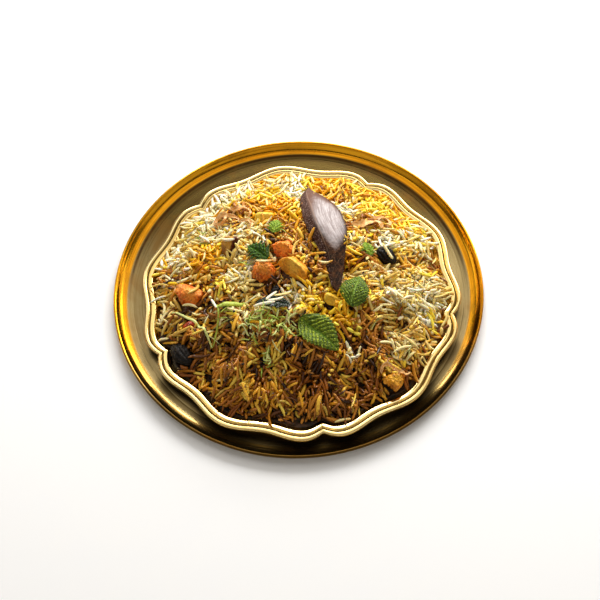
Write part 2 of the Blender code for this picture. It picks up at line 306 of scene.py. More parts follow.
def makePiece(name, points, quads, triangles, finish, values=None):
    # puts whole arrays into one mesh: points, faces by point number, and named values per point
    quads = np.asarray(quads, np.int32).reshape(-1, 4)
    triangles = np.asarray(triangles, np.int32).reshape(-1, 3)
    corners = np.concatenate([quads.ravel(), triangles.ravel()])
    starts = np.concatenate([np.arange(len(quads)) * 4, len(quads) * 4 + np.arange(len(triangles)) * 3])
    mesh = bpy.data.meshes.new(name)
    mesh.vertices.add(len(points))
    mesh.vertices.foreach_set("co", ((np.asarray(points) + centre) * mm).astype(np.float32).ravel())
    mesh.loops.add(len(corners))
    mesh.loops.foreach_set("vertex_index", corners)
    mesh.polygons.add(len(starts))
    mesh.polygons.foreach_set("loop_start", starts.astype(np.int32))
    mesh.polygons.foreach_set("use_smooth", np.ones(len(starts), bool))
    for key, array in (values or {}).items():
        flat = array.ndim == 1
        attribute = mesh.attributes.new(key, "FLOAT" if flat else "FLOAT_VECTOR", "POINT")
        attribute.data.foreach_set("value" if flat else "vector", array.astype(np.float32).ravel())
    mesh.update(calc_edges=True)
    mesh.materials.append(finish)
    piece = bpy.data.objects.new(name, mesh)
    bpy.context.scene.collection.objects.link(piece)
    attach(piece, "root")
    return piece


def makeTube(name, rings, poles, finish, values=None):
    # a closed tube from rings (rows, columns, 3) and its two poles
    quads, fans = tubeFaces(*rings.shape[:2])
    return makePiece(name, np.vstack([rings.reshape(-1, 3), poles]), quads, fans, finish, values)


def smoothLine(points, steps):
    # a curve through every given point: each stretch is Catmull and Rom's cubic of its four nearest points
    p = np.asarray(points, float)
    p = np.vstack([2 * p[0] - p[1], p, 2 * p[-1] - p[-2]])
    a, b, c, d = p[:-3], p[1:-2], p[2:-1], p[3:]
    t = np.linspace(0, 1, steps, endpoint=False)[:, None, None]
    line = 0.5 * (2 * b + (c - a) * t + (2 * a - 5 * b + 4 * c - d) * t ** 2
                  + (3 * b - a - 3 * c + d) * t ** 3)
    return np.vstack([line.transpose(1, 0, 2).reshape(-1, p.shape[1]), p[-2:-1]])


def unit(vectors):
    return vectors / np.maximum(np.linalg.norm(vectors, axis=-1, keepdims=True), 1e-9)


def sweep(path, section):
    # carries an outline along a path: its first number goes to the path's left, its second upwards
    ahead = unit(np.gradient(path, axis=0))
    left = unit(np.cross(np.array([0, 0, 1.0]), ahead))
    lift = np.cross(ahead, left)
    return path[:, None] + section[..., :1] * left[:, None] + section[..., 1:] * lift[:, None]


def closed(rings):
    # rings with their first column again at the end
    return rings[:, np.append(np.arange(rings.shape[1]), 0)]


heap = {
    "top": 45, "edge": 11, "radius": 127.7, "power": 2.3, "lumpHeight": 2.4, "lumpLength": 70, "ragged": 2.2,
}


def heapEdge(turn):
    # the heap's radius at an angle in degrees: inside the scallop, less an uneven share
    t = np.radians(turn)
    return heap["radius"] + scallop(turn) - heap["ragged"] * (2 + np.sin(4 * t + 1) + np.sin(11 * t)) / 4


def heapHeight(x, y):
    # a dome that falls with a power of the share of the way out, with broad lumps; returns that share too
    out = np.hypot(x, y)
    lobed = np.minimum(1, out / heap["radius"]) ** 3
    reach = heap["radius"] + lobed * (heapEdge(np.degrees(np.arctan2(y, x))) - heap["radius"])
    share = np.minimum(1, out / reach)
    k = 2 * np.pi / heap["lumpLength"]
    lumps = (np.sin(k * x + 0.8) * np.cos(0.8 * k * y) + np.sin(0.9 * k * (x + y) + 2.1)
             + np.cos(0.7 * k * (x - 1.6 * y) + 0.4)) / 3
    dome = heap["edge"] + (heap["top"] - heap["edge"]) * (1 - share ** heap["power"])
    return dome + heap["lumpHeight"] * lumps * (1 - share ** 4), share


# map of the ground's height, in cells, that every loose piece settles on and raises; rows run along y
field = {"cell": 0.5, "half": 150.0}
fieldAxis = np.arange(-field["half"] + field["cell"] / 2, field["half"], field["cell"])
gridX, gridY = np.meshgrid(fieldAxis, fieldAxis)


def cellOf(x, y):
    last = len(fieldAxis) - 1
    col = np.clip(((x + field["half"]) / field["cell"]).astype(int), 0, last)
    row = np.clip(((y + field["half"]) / field["cell"]).astype(int), 0, last)
    return row, col


def soften(values, reach):
    # a map blurred over a reach, by damping its fine waves
    waveY = np.fft.fftfreq(values.shape[0])[:, None]
    waveX = np.fft.rfftfreq(values.shape[1])[None, :]
    damp = np.exp(-2 * (np.pi * reach / field["cell"]) ** 2 * (waveX ** 2 + waveY ** 2))
    return np.fft.irfft2(np.fft.rfft2(values) * damp, s=values.shape)


def cloud(reach):
    # smooth random map of about unit height
    rough = soften(rng.normal(size=gridX.shape), reach)
    return rough / rough.std()


def markSurface(ground, points):
    # raises the map to a surface given as a grid of points, filled in until no cell is missed
    for axis in (0, 1):
        count = points.shape[axis]
        span = np.linalg.norm(np.diff(points, axis=axis), axis=-1).max()
        parts = max(1, int(np.ceil(span / (0.7 * field["cell"]))))
        at = np.linspace(0, count - 1, (count - 1) * parts + 1)
        low = np.minimum(at.astype(int), count - 2)
        share = (at - low)[:, None, None] if axis == 0 else (at - low)[None, :, None]
        points = np.take(points, low, axis) * (1 - share) + np.take(points, low + 1, axis) * share
    row, col = cellOf(points[..., 0].ravel(), points[..., 1].ravel())
    np.maximum.at(ground, (row, col), points[..., 2].ravel())


def makeBrassGroup():
    # drawn streaks between a bright and a deep tone, cloudy tarnish and small dark specks
    group, given, out = newGroup(
        "brassFinish",
        {"Streak": "vector", "Place": "vector", "Bright": "colour", "Deep": "colour", "Stain": "colour",
         "Tarnish": "float", "Gloss": "float"},
        {"Colour": "colour", "Roughness": "float", "Height": "float"})
    fine = noise(group, given["Streak"], 1.0, 5, 0.65)
    broad = noise(group, given["Streak"], 0.22, 3, 0.55)
    patchy = noise(group, given["Place"], 16, 5, 0.62, 0.6)
    spots = noise(group, given["Place"], 420, 2, 0.5)
    streaky = spread(group, plus(group, times(group, fine, 0.45), times(group, broad, 0.55)), 0.36, 0.64)
    tone = blend(group, streaky, given["Bright"], given["Deep"])
    dull = times(group, spread(group, patchy, 0.46, 0.72), given["Tarnish"])
    tone = blend(group, dull, tone, given["Stain"])
    tone = blend(group, times(group, spread(group, spots, 0.70, 0.78), 0.5), tone, given["Stain"])
    rough = plus(group, given["Gloss"], times(group, streaky, 0.10))
    rough = plus(group, rough, times(group, dull, 0.16))
    return finishGroup(group, out, {"Colour": tone, "Roughness": rough, "Height": fine})


brassGroup = makeBrassGroup()

tray = {
    "segments": 288, "steps": 6, "sheet": 1.5, "margin": 0.15,
    # the lip's sway: its size, how far in it starts, and over what width it grows outwards
    "sway": 0.12, "swayFrom": 15, "swayOver": 10,
    # distance in from the edge and height: underneath, round the lip and down to the floor
    "profile": [(57, 0), (27, 0), (14, 0.05), (6.6, 1.5), (1.3, 5.3), (0, 6.9), (0.4, 8.2), (1.6, 8.5),
                (2.5, 8.0), (3.4, 7.1), (4.6, 5.8), (6.4, 4.4), (8.7, 3.4), (11, 2.8), (14, 2.2), (17, 1.75),
                (20, 1.5), (57, 1.5)],
    # where a colour comes in: distances in from the edge, then distances from the middle towards the back
    "lip": (12.6, 10.6), "rolledEdge": (4, 2), "creaseIn": 13.8, "creaseWide": 2.4,
    "back": (0, 90), "front": (-40, -120), "creaseBack": (-20, 50),
    # painted reflections: the floor darker at the back, the lip partly brighter than the floor and paler at
    # its front
    "floorBright": rgb(146, 130, 92), "floorDeep": rgb(116, 98, 60), "backBright": rgb(78, 64, 30),
    "backDeep": rgb(54, 40, 18), "creaseShade": rgb(40, 20, 4),
    "lipBright": rgb(230, 166, 34), "lipDeep": rgb(172, 104, 10), "stain": rgb(96, 62, 18),
    "frontBright": rgb(196, 172, 112), "frontDeep": rgb(128, 98, 48), "frontEdgeShade": rgb(82, 60, 24),
    "tarnish": 0.5, "floorGloss": 0.24, "lipGloss": 0.14,
}


def makeTrayFinish(edge):
    # streaks drawn round the middle; a pair of tones each for the floor, its back, the lip and the lip's
    # front.
    # These hold painted reflections: the floor darker towards the back, the lip paler towards the front and
    # partly brighter than the floor; a painted dark reflection on the rolled edge at the front, and painted
    # shade in the crease where the lip rises at the back
    finish, tree, shader = newFinish("trayBrass", {"Metallic": 1.0})
    place = objectPlace(tree)
    flat = vectorCalc(tree, "MULTIPLY", place, (1, 1, 0))
    radius = vectorCalc(tree, "LENGTH", flat, output="Value")
    depth = addNode(tree, "ShaderNodeSeparateXYZ", {"Vector": place}).outputs["Y"]

    def fromEdge(span):
        return spread(tree, radius, (edge - span[0]) * mm, (edge - span[1]) * mm)

    def towards(span, most=1.0):
        return spread(tree, depth, span[0] * mm, span[1] * mm, 0.0, most)

    # painted reflections: the floor turns darker towards the back, the lip paler towards the front
    toBack, toFront = towards(tray["back"]), towards(tray["front"])
    # painted dark reflection on the rolled edge at the front
    onLip, onShadedEdge = fromEdge(tray["lip"]), times(tree, fromEdge(tray["rolledEdge"]), toFront)
    # painted shade along the crease where the lip rises at the back
    offCrease = calc(tree, "ABSOLUTE", plus(tree, radius, -(edge - tray["creaseIn"]) * mm))
    creaseShade = spread(tree, offCrease, tray["creaseWide"] * mm, 0.0)
    creaseShade = times(tree, creaseShade, towards(tray["creaseBack"], 0.9))
    tones = {}
    for kind in ("Bright", "Deep"):
        floorTone = blend(tree, toBack, tray["floor" + kind], tray["back" + kind])
        floorTone = blend(tree, creaseShade, floorTone, tray["creaseShade"])
        lipTone = blend(tree, toFront, tray["lip" + kind], tray["front" + kind])
        tones[kind] = blend(tree, onLip, floorTone, blend(tree, onShadedEdge, lipTone, tray["frontEdgeShade"]))
    around = vectorCalc(tree, "MULTIPLY", vectorCalc(tree, "NORMALIZE", flat), (2.2, 2.2, 0))
    ringed = addNode(tree, "ShaderNodeCombineXYZ", {"Z": times(tree, radius, 900)}).outputs[0]
    got = useGroup(tree, brassGroup, {
        "Streak": vectorCalc(tree, "ADD", around, ringed), "Place": place, "Stain": tray["stain"],
        "Tarnish": tray["tarnish"], **tones,
        "Gloss": spread(tree, onLip, 0, 1, tray["floorGloss"], tray["lipGloss"])})
    connect(tree, shader, got["Colour"], got["Roughness"], got["Height"], 0.00004, 0.6)
    return finish


def makeTray():
    # the profile turned round the tray's middle, with a slight sway of the lip
    low, high = boxOf("tray")
    edge = (high - low)[0] / 2 - tray["margin"]
    middle = (low + high) / 2
    turn = np.radians(np.arange(tray["segments"]) * 360 / tray["segments"])
    line = smoothLine(tray["profile"], tray["steps"])
    inward, rise = line[:, :1], np.maximum(line[:, 1:], 0)
    onLip = np.clip((tray["swayFrom"] - inward) / tray["swayOver"], 0, 1)
    sway = tray["sway"] * onLip * (np.sin(3 * turn + 0.4) + np.sin(7 * turn + 2)) / 2
    radius = edge - inward + sway - tray["sway"]
    x, y = middle[0] + radius * np.cos(turn), middle[1] + radius * np.sin(turn)
    rings = np.stack([x, y, rise + 0 * turn], -1)
    poles = [(*middle[:2], 0), (*middle[:2], tray["sheet"])]
    piece = makeTube("brassTray", rings, poles, makeTrayFinish(edge))
    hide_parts("tray")


makeTray()
report("tray made")

plate = {
    "perLobe": 64, "steps": 5, "sway": 0.03,
    # distance out from the outer bead's top, height, share of the scallop: underneath, the skirt, the outer
    # bead, the groove, the inner bead that leans inwards, and the wall of the well
    "profile": [(-34, 0, 0), (-22, 1.4, 0.5), (-12, 4.8, 0.9), (-5, 9.3, 1), (-1, 9.2, 1), (-0.2, 5.4, 1),
                (0.7, 5.0, 1), (1.4, 6.4, 1), (1.9, 9.8, 1), (1.6, 11.0, 1), (0.8, 11.6, 1), (-0.8, 11.6, 1),
                (-1.7, 11.0, 1), (-2.4, 10.1, 1), (-3.1, 10.5, 1), (-3.6, 11.5, 1), (-4.3, 11.8, 1),
                (-5.6, 11.55, 1), (-7.1, 11.1, 1), (-7.9, 10.1, 1), (-11, 6.3, 0.9), (-20, 3.1, 0.5),
                (-32, 1.5, 0)],
    # painted shade: dark lines between and on the beads, the second two only at the back: distance out, half
    # width and depth of shade
    "groove": (-2.4, 0.6, 1.0), "farShadeLines": [(-3.9, 1.0, 0.5), (-5.5, 0.55, 0.85)],
    # the lines are drawn above this height; the profile's first points are the underside, with painted shadow
    # below the skirt
    "above": 9.5, "underneath": 8, "skirt": 9.6,
    "bottom": 0.0, "wellFloor": 1.5,
    "bright": rgb(255, 234, 172), "deep": rgb(238, 200, 116), "stain": rgb(112, 76, 26),
    "shade": rgb(36, 19, 4), "shadeShare": 0.93, "tarnish": 0.2, "gloss": 0.07,
}


def makePlateFinish():
    # streaks drawn along the outline, painted shade in dark lines along the beads, and painted shadow under
    # the skirt
    finish, tree, shader = newFinish("plateBrass", {"Metallic": 1.0})
    strip = vectorCalc(tree, "MULTIPLY", pointValue(tree, "strip", "Vector"), (1.6, 1.6, 0.9))
    got = useGroup(tree, brassGroup, {
        "Streak": strip, "Place": objectPlace(tree), "Bright": plate["bright"], "Deep": plate["deep"],
        "Stain": plate["stain"], "Tarnish": plate["tarnish"], "Gloss": plate["gloss"]})
    dark = times(tree, pointValue(tree, "groove"), plate["shadeShare"])
    tone = blend(tree, dark, got["Colour"], plate["shade"])
    connect(tree, shader, tone, got["Roughness"], got["Height"], 0.00002, 0.4)
    return finish


def makePlate():
    # the profile carried round the scalloped outline; returns its upper side
    base = boxOf("plate")[0][2]
    count = plate["perLobe"] * dish["lobes"]
    turn = np.arange(count) * 360 / count + dish["notchAngle"]
    cosTurn, sinTurn = np.cos(np.radians(turn)), np.sin(np.radians(turn))
    line = smoothLine(plate["profile"], plate["steps"])
    sway = plate["sway"] * (np.sin(np.radians(turn) * 4 + 1) + np.sin(np.radians(turn) * 9))
    reach = dish["radius"] + line[:, :1] + line[:, 2:] * (scallop(turn) + sway)
    rings = np.stack([reach * cosTurn, reach * sinTurn, base + line[:, 1:2] + 0 * turn], -1)
    along = np.concatenate([[0], np.cumsum(np.linalg.norm(np.diff(line[:, :2], axis=0), axis=1))])[:, None]
    strip = np.stack([cosTurn + 0 * along, sinTurn + 0 * along, along + 0 * turn], -1)
    strip = np.vstack([strip.reshape(-1, 3), np.zeros((2, 3))])
    step, underneath = np.arange(len(line))[:, None], plate["steps"] * plate["underneath"]
    onTop = (step > underneath) * (line[:, 1:2] > plate["above"])
    # painted shade: dark lines along the beads, the far ones only at the back, and painted shadow under the
    # skirt
    shadeLines = [shade * np.exp(-((line[:, :1] - middle) / wide) ** 2)
               for middle, wide, shade in [plate["groove"]] + plate["farShadeLines"]]
    groove = np.clip(shadeLines[0] + sum(shadeLines[1:]) * np.clip(sinTurn * 2 - 0.6, 0, 1), 0, 1) * onTop
    groove = np.where(step < underneath, np.clip(plate["skirt"] - line[:, 1:2], 0, 1), groove) + 0 * turn
    poles = [(0, 0, base + plate["bottom"]), (0, 0, base + plate["wellFloor"])]
    piece = makeTube("brassPlate", rings, poles, makePlateFinish(), {
        "strip": strip, "groove": np.append(groove, [0, 0])})
    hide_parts("plate")
    return base, rings[len(rings) // 2 - 2:]


plateBase, plateTop = makePlate()
report("plate made")

# the core lies under the grains: its depth at the front and at the back, and where the back begins and is
# full; near the edge its depth shrinks to a share; a little narrower than the heap, with lumps; the wall is
# height over the plate, share of the scallop and distance out of three rings just above the plate's well
core = {
    "depth": 12.0, "farDepth": 5.0, "farFrom": 15, "farOver": 50, "rim": 0.28, "rise": 12, "inset": 0.992,
    "within": 0.995, "lumps": 0.9, "lumpReach": 2.2, "rings": 90, "segments": 270,
    "wall": [(1.9, 0, -34.0), (3.9, 0.5, -20.5), (6.9, 0.9, -11.6)],
}
surface, shareOut = heapHeight(gridX, gridY)
farShare = np.clip((gridY - core["farFrom"]) / core["farOver"], 0, 1)
coreDepth = core["depth"] + (core["farDepth"] - core["depth"]) * farShare
coreTop = surface - coreDepth * np.clip((1 - shareOut) * core["rise"], core["rim"], 1)
ground = np.full(gridX.shape, tray["sheet"])
markSurface(ground, closed(plateTop))
inside = shareOut < core["within"]
ground[inside] = np.maximum(ground[inside], coreTop[inside])


def makeCookedGroup():
    # flesh in two tones, browned in mottles and dotted with spice
    group, given, out = newGroup(
        "cookedSurface",
        {"Place": "vector", "Flesh": "colour", "Pale": "colour", "Brown": "colour", "Browning": "float",
         "Gloss": "float"},
        {"Colour": "colour", "Roughness": "float", "Height": "float"})
    mottle = noise(group, given["Place"], 180, 5, 0.6, 0.8)
    clouds = noise(group, given["Place"], 60, 3, 0.5, 0.3)
    grit = noise(group, given["Place"], 900, 2, 0.6)
    torn = noise(group, given["Place"], 420, 4, 0.7, 1.0)
    tone = blend(group, spread(group, clouds, 0.42, 0.66), given["Flesh"], given["Pale"])
    tone = blend(group, spread(group, torn, 0.48, 0.62, 0.0, 0.8), tone, given["Pale"])
    browned = times(group, spread(group, mottle, 0.46, 0.62), given["Browning"])
    tone = blend(group, browned, tone, given["Brown"])
    tone = blend(group, times(group, spread(group, grit, 0.68, 0.76), 0.35), tone, given["Brown"])
    rough = plus(group, given["Gloss"], times(group, mottle, 0.22))
    height = plus(group, plus(group, mottle, times(group, torn, 0.8)), times(group, grit, 0.25))
    return finishGroup(group, out, {"Colour": tone, "Roughness": rough, "Height": height})


cookedGroup = makeCookedGroup()


def cookedFinish(name, flesh, pale, brown, browning=0.6, gloss=0.28, rings=0.0, ringTone=None, skin=None):
    # rings draws the pale growth rings of a cut root, a sine of the distance from the piece's own axis;
    # skin is a tone for one side, and where along the piece's own X it comes in
    finish, tree, shader = newFinish(name, {"Specular IOR Level": 0.35})
    place = pointValue(tree, "ownPlace", "Vector")
    got = useGroup(tree, cookedGroup, {
        "Place": place, "Flesh": flesh, "Pale": pale, "Brown": brown, "Browning": browning, "Gloss": gloss})
    tone, height = got["Colour"], got["Height"]
    if rings:
        radius = vectorCalc(tree, "LENGTH", vectorCalc(tree, "MULTIPLY", place, (1, 0, 1)), output="Value")
        wave = plus(tree, times(tree, radius, 2600), times(tree, noise(tree, place, 150, 2), 3))
        mask = times(tree, spread(tree, calc(tree, "SINE", wave), 0.1, 1.0), rings)
        tone = blend(tree, mask, tone, ringTone)
        height = plus(tree, height, times(tree, mask, 0.4))
    if skin:
        skinTone, skinFrom, skinTo = skin
        side = addNode(tree, "ShaderNodeSeparateXYZ", {"Vector": place}).outputs["X"]
        ragged = plus(tree, side, times(tree, got["Height"], 0.003))
        tone = blend(tree, spread(tree, ragged, skinFrom, skinTo), tone, skinTone)
    connect(tree, shader, tone, got["Roughness"], height, 0.001, 0.8)
    return finish


potatoGold = cookedFinish("potatoGold", rgb(238, 152, 22), rgb(250, 196, 72), rgb(158, 84, 10), 0.55, 0.2)
potatoBrown = cookedFinish("potatoBrown", rgb(238, 146, 18), rgb(252, 192, 58), rgb(124, 56, 8), 0.6, 0.24)
potatoSkin = cookedFinish("potatoSkin", rgb(176, 116, 34), rgb(214, 160, 60), rgb(104, 54, 16), 0.7, 0.26,
                          skin=(rgb(74, 20, 12), 0.0035, 0.0055))
carrotOrange = cookedFinish("carrotOrange", rgb(242, 106, 8), rgb(255, 170, 66), rgb(136, 40, 2), 0.6, 0.22,
                            0.2, rgb(255, 180, 84))
pepperYellow = cookedFinish("pepperYellow", rgb(236, 186, 36), rgb(248, 214, 82), rgb(166, 106, 16), 0.35, 0.2)
chilliRed = cookedFinish("chilliRed", rgb(164, 44, 10), rgb(206, 84, 22), rgb(72, 16, 6), 0.6, 0.14)


def turned(points, degreesZ, degreesY=0.0):
    # points turned about Y, then about Z
    a, b = math.radians(degreesZ), math.radians(degreesY)
    spinY = np.array([[math.cos(b), 0, math.sin(b)], [0, 1, 0], [-math.sin(b), 0, math.cos(b)]])
    spinZ = np.array([[math.cos(a), -math.sin(a), 0], [math.sin(a), math.cos(a), 0], [0, 0, 1]])
    return points @ (spinZ @ spinY).T


# size along, across and up; turn and tip in degrees; how sharp its edges are and how deep its wrinkles.
# Faces are a cut's direction and how far out it is, as a share of the half size; cuts is a number of
# further random ones, and lift is how far it stands out more than the others
chunks = {
    "potato_1": {"size": (39, 18, 22), "turn": -38, "tip": 6, "sharp": 10, "wrinkle": 0.06,
                 "finish": potatoGold,
                 "faces": [((0.05, -0.80, 0.50), 0.46), ((0.1, 0.75, 0.66), 0.52), ((1, 0, 0.15), 0.9),
                           ((-1, -0.1, 0.1), 0.86), ((-0.7, 0.6, 0.3), 0.62), ((0.8, 0.5, 0.2), 0.7)],
                 "cuts": 4},
    "potato_2": {"size": (24, 18, 15), "turn": 24, "tip": 12, "sharp": 6, "wrinkle": 0.13,
                 "finish": potatoBrown,
                 "faces": [((0.3, -0.6, 0.7), 0.5), ((0.1, 0.7, 0.7), 0.6)], "cuts": 6},
    "potato_3": {"size": (15, 21, 19), "turn": -14, "tip": 12, "sharp": 10, "wrinkle": 0.05,
                 "finish": potatoSkin,
                 "faces": [((0.8, -0.4, 0.5), 0.6), ((-0.6, -0.5, 0.7), 0.5), ((-0.2, 0.8, 0.5), 0.7)],
                 "lift": 3},
    "potato_4": {"size": (20, 12, 12), "turn": 6, "tip": -3, "sharp": 9, "wrinkle": 0.04,
                 "finish": pepperYellow,
                 "faces": [((0, -0.7, 0.7), 0.5), ((0.2, 0.6, 0.7), 0.7), ((-1, 0.2, 0.2), 0.8)]},
    "carrot_1": {"size": (33, 21, 19), "turn": -12, "tip": 10, "sharp": 12, "wrinkle": 0.08,
                 "finish": carrotOrange,
                 "faces": [((1, 0.2, 0.1), 0.75), ((0.15, -0.8, 0.5), 0.5), ((0.1, 0.6, 0.75), 0.58),
                           ((-0.7, -0.5, 0.5), 0.66)], "cuts": 9},
    "carrot_2": {"size": (28, 19, 17), "turn": -16, "tip": 8, "sharp": 13, "wrinkle": 0.13,
                 "finish": carrotOrange,
                 "faces": [((0.1, -0.8, 0.6), 0.42), ((0.6, 0.5, 0.6), 0.6), ((-0.3, 0.7, 0.6), 0.62),
                           ((0.9, -0.4, 0.2), 0.66)], "cuts": 10},
    "carrot_3": {"size": (25, 22, 20), "turn": 12, "tip": 0, "sharp": 13, "wrinkle": 0.12,
                 "finish": carrotOrange,
                 "faces": [((0, -0.85, 0.5), 0.5), ((-0.9, 0.2, 0.4), 0.6), ((0.1, 0.3, 1), 0.72)],
                 "cuts": 10, "lift": 3},
    "pepper": {"size": (18, 12, 10), "turn": -22, "tip": 4, "sharp": 9, "wrinkle": 0.04,
               "finish": pepperYellow,
               "faces": [((0, -0.7, 0.7), 0.5), ((0.1, 0.7, 0.7), 0.6), ((-1, 0, 0), 0.85)]},
    "chilli": {"size": (14, 9, 8), "turn": 8, "tip": -8, "sharp": 5, "wrinkle": 0.06,
               "finish": chilliRed,
               "faces": [((0.2, -0.7, 0.6), 0.6)]},
}
# shared by all: how far they stand over their CAD nodes, how far out random cuts are and how much more often
# these look up, grid rows and columns, and how far apart their patterns lie for each letter of their names
chunkLay = {"lift": 1.2, "cutOut": (0.6, 0.8), "cutUp": 0.5, "rows": 44, "cols": 72, "apart": 0.01}
cutter = np.random.default_rng(23)


def chunkGrid(size, faces, sharpness, wrinkle):
    # rounded block with flat cuts: in each direction the radius is the smooth lower bound of an ellipsoid
    # and all the cutting planes, with a little waviness; the last two rows are its poles
    lat = (np.arange(chunkLay["rows"]) + 0.5) / chunkLay["rows"] * np.pi
    lon = np.arange(chunkLay["cols"]) / chunkLay["cols"] * 2 * np.pi
    lat = np.concatenate([lat, [np.pi, 0]])
    look = np.stack([np.sin(lat)[:, None] * np.cos(lon), np.sin(lat)[:, None] * np.sin(lon),
                     -np.cos(lat)[:, None] + 0 * lon], -1)
    half = np.asarray(size) / 2
    total = np.linalg.norm(look / half, axis=-1) ** sharpness
    for normal, share in faces:
        normal = unit(np.asarray(normal, float))
        distance = share * np.linalg.norm(normal * half)
        total = total + (np.maximum(0, look @ normal) / distance) ** sharpness
    reach = total ** (-1 / sharpness)
    x, y, z = look[..., 0], look[..., 1], look[..., 2]
    waves = (np.sin(x * 5 + y * 3 + size[0]) + np.sin(y * 7 - z * 4) + np.sin(z * 9 + x * 6 + 1)
             + 0.6 * np.sin(x * 17 + y * 13) + 0.4 * np.sin(y * 29 + 3 * np.sin(x * 11))) / 3
    folds = np.abs(np.sin(x * 6 + 2 * np.sin(z * 5 + size[1])) * np.sin(y * 7 + 2 * np.sin(x * 4)))
    return look * (reach * (1 + wrinkle * (waves + 1.4 * (folds - 0.4))))[..., None]


def makeChunk(name, chunk):
    # the block stands where its CAD node does, with its top a little above the node's
    low, high = boxOf(name)
    cuts = cutter.normal(0, 1, (chunk.get("cuts", 0), 3)) + (0, 0, chunkLay["cutUp"])
    faces = chunk["faces"] + list(zip(cuts, cutter.uniform(*chunkLay["cutOut"], len(cuts))))
    own = chunkGrid(chunk["size"], faces, chunk["sharp"], chunk["wrinkle"])
    points = turned(own, chunk["turn"], chunk["tip"])
    points = points + (low + high) / 2 - (points.max((0, 1)) + points.min((0, 1))) / 2
    points[..., 2] += high[2] - points[..., 2].max() + chunkLay["lift"] + chunk.get("lift", 0)
    rings, poles = points[:-2], [points[-1, 0], points[-2, 0]]
    ownPlace = np.vstack([own[:-2].reshape(-1, 3), own[-1, :1], own[-2, :1]]) * mm
    piece = makeTube(pieceName(name, "Cooked"), rings, poles, chunk["finish"], {
        "ownPlace": ownPlace + (0, len(name) * chunkLay["apart"], 0)})
    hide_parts(name)
    markSurface(ground, closed(rings))


for name, chunk in chunks.items():
    makeChunk(name, chunk)
report("vegetables made")

# length and width, turn and tip in degrees, the number of ribs, and how far it stands over its CAD node
pods = {
    "cardamom_1": {"length": 21, "width": 15, "turn": -38, "tip": 12, "ribs": 9, "lift": 2.2},
    "cardamom_2": {"length": 28, "width": 16, "turn": -55, "tip": -12, "ribs": 10, "lift": 0},
    "cardamom_3": {"length": 15, "width": 11, "turn": 64, "tip": 6, "ribs": 8, "lift": 0},
}


def makePodFinish():
    # a black husk, browner in clouds and on its ribs
    finish, tree, shader = newFinish("podBlack", {"Specular IOR Level": 0.2})
    place = objectPlace(tree)
    rib = pointValue(tree, "rib")
    wrinkles = noise(tree, place, 700, 4, 0.6, 0.5)
    husk = noise(tree, place, 150, 4, 0.6)
    tone = blend(tree, spread(tree, husk, 0.4, 0.7), rgb(7, 6, 6), rgb(20, 15, 13))
    tone = blend(tree, times(tree, spread(tree, rib, 0.6, 1.0), 0.3), tone, rgb(50, 39, 31))
    height = plus(tree, times(tree, rib, 0.8), wrinkles)
    connect(tree, shader, tone, spread(tree, husk, 0.3, 0.7, 0.4, 0.6), height, 0.0005, 0.8)
    return finish


podBlack = makePodFinish()


def makePod(name, pod, rows=34, cols=60):
    # a spindle whose radius is a power of a sine, swollen by ribs that wander along it and by small folds
    low, high = boxOf(name)
    along = np.linspace(0.03, 0.97, rows)[:, None]
    t = np.linspace(0, 2 * np.pi, cols, endpoint=False)[None, :]
    rib = np.abs(np.cos(pod["ribs"] / 2 * t + 0.6 * np.sin(along * 7))) ** 0.7
    fold = 0.05 * np.sin(along * 31 + 4 * np.cos(t)) + 0.04 * np.sin(along * 17 - 3 * t)
    radius = pod["width"] / 2 * np.sin(np.pi * along ** 0.9) ** 0.62 * (0.84 + 0.15 * rib + fold)
    own = np.stack([pod["length"] * (along - 0.5) + 0 * t, radius * np.cos(t), radius * np.sin(t)], -1)
    ends = np.array([[-pod["length"] / 2, 0, 0], [pod["length"] / 2, 0, 0]])
    middle = (low + high) / 2 + np.array([0, 0, pod["lift"]])
    rings, poles = (turned(part, pod["turn"], pod["tip"]) + middle for part in (own, ends))
    piece = makeTube(pieceName(name, "Pod"), rings, poles, podBlack, {
        "rib": np.concatenate([(rib + 0 * along).ravel(), [0, 0]])})
    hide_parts(name)
    markSurface(ground, closed(rings))


for name, pod in pods.items():
    makePod(name, pod)
report("pods made")

# where vegetables and pods stand out of the core, blurred to reach a little round them
clearing = {"over": 1.5, "within": 0.97, "reach": 1.5}
standing = (ground > coreTop + clearing["over"]) * (shareOut < clearing["within"])
vegetables = soften(standing, clearing["reach"])

# one rounded body, repeated with its own size, bend and place: where its rings and its feelers lie along it,
# how far to either side the feelers reach as a share of its width, how many of them may be under the ground,
# and the power of its outline when it raises the ground
body = {
    "rings": np.array([-0.95, -0.74, -0.38, 0.0, 0.38, 0.74, 0.95]), "sides": 6,
    "feelers": np.linspace(-0.94, 0.94, 13), "feelWide": 0.3, "bridge": 3, "power": 3.4,
}
nowhere = -1e9  # a height below everything


def sideways(t, items, n=slice(None)):
    # how far a bent piece's middle line lies to its left at a share of its half length
    return items["side"][n] * (t ** 2 - 0.3) + items["ess"][n] * (t ** 3 - 0.6 * t)


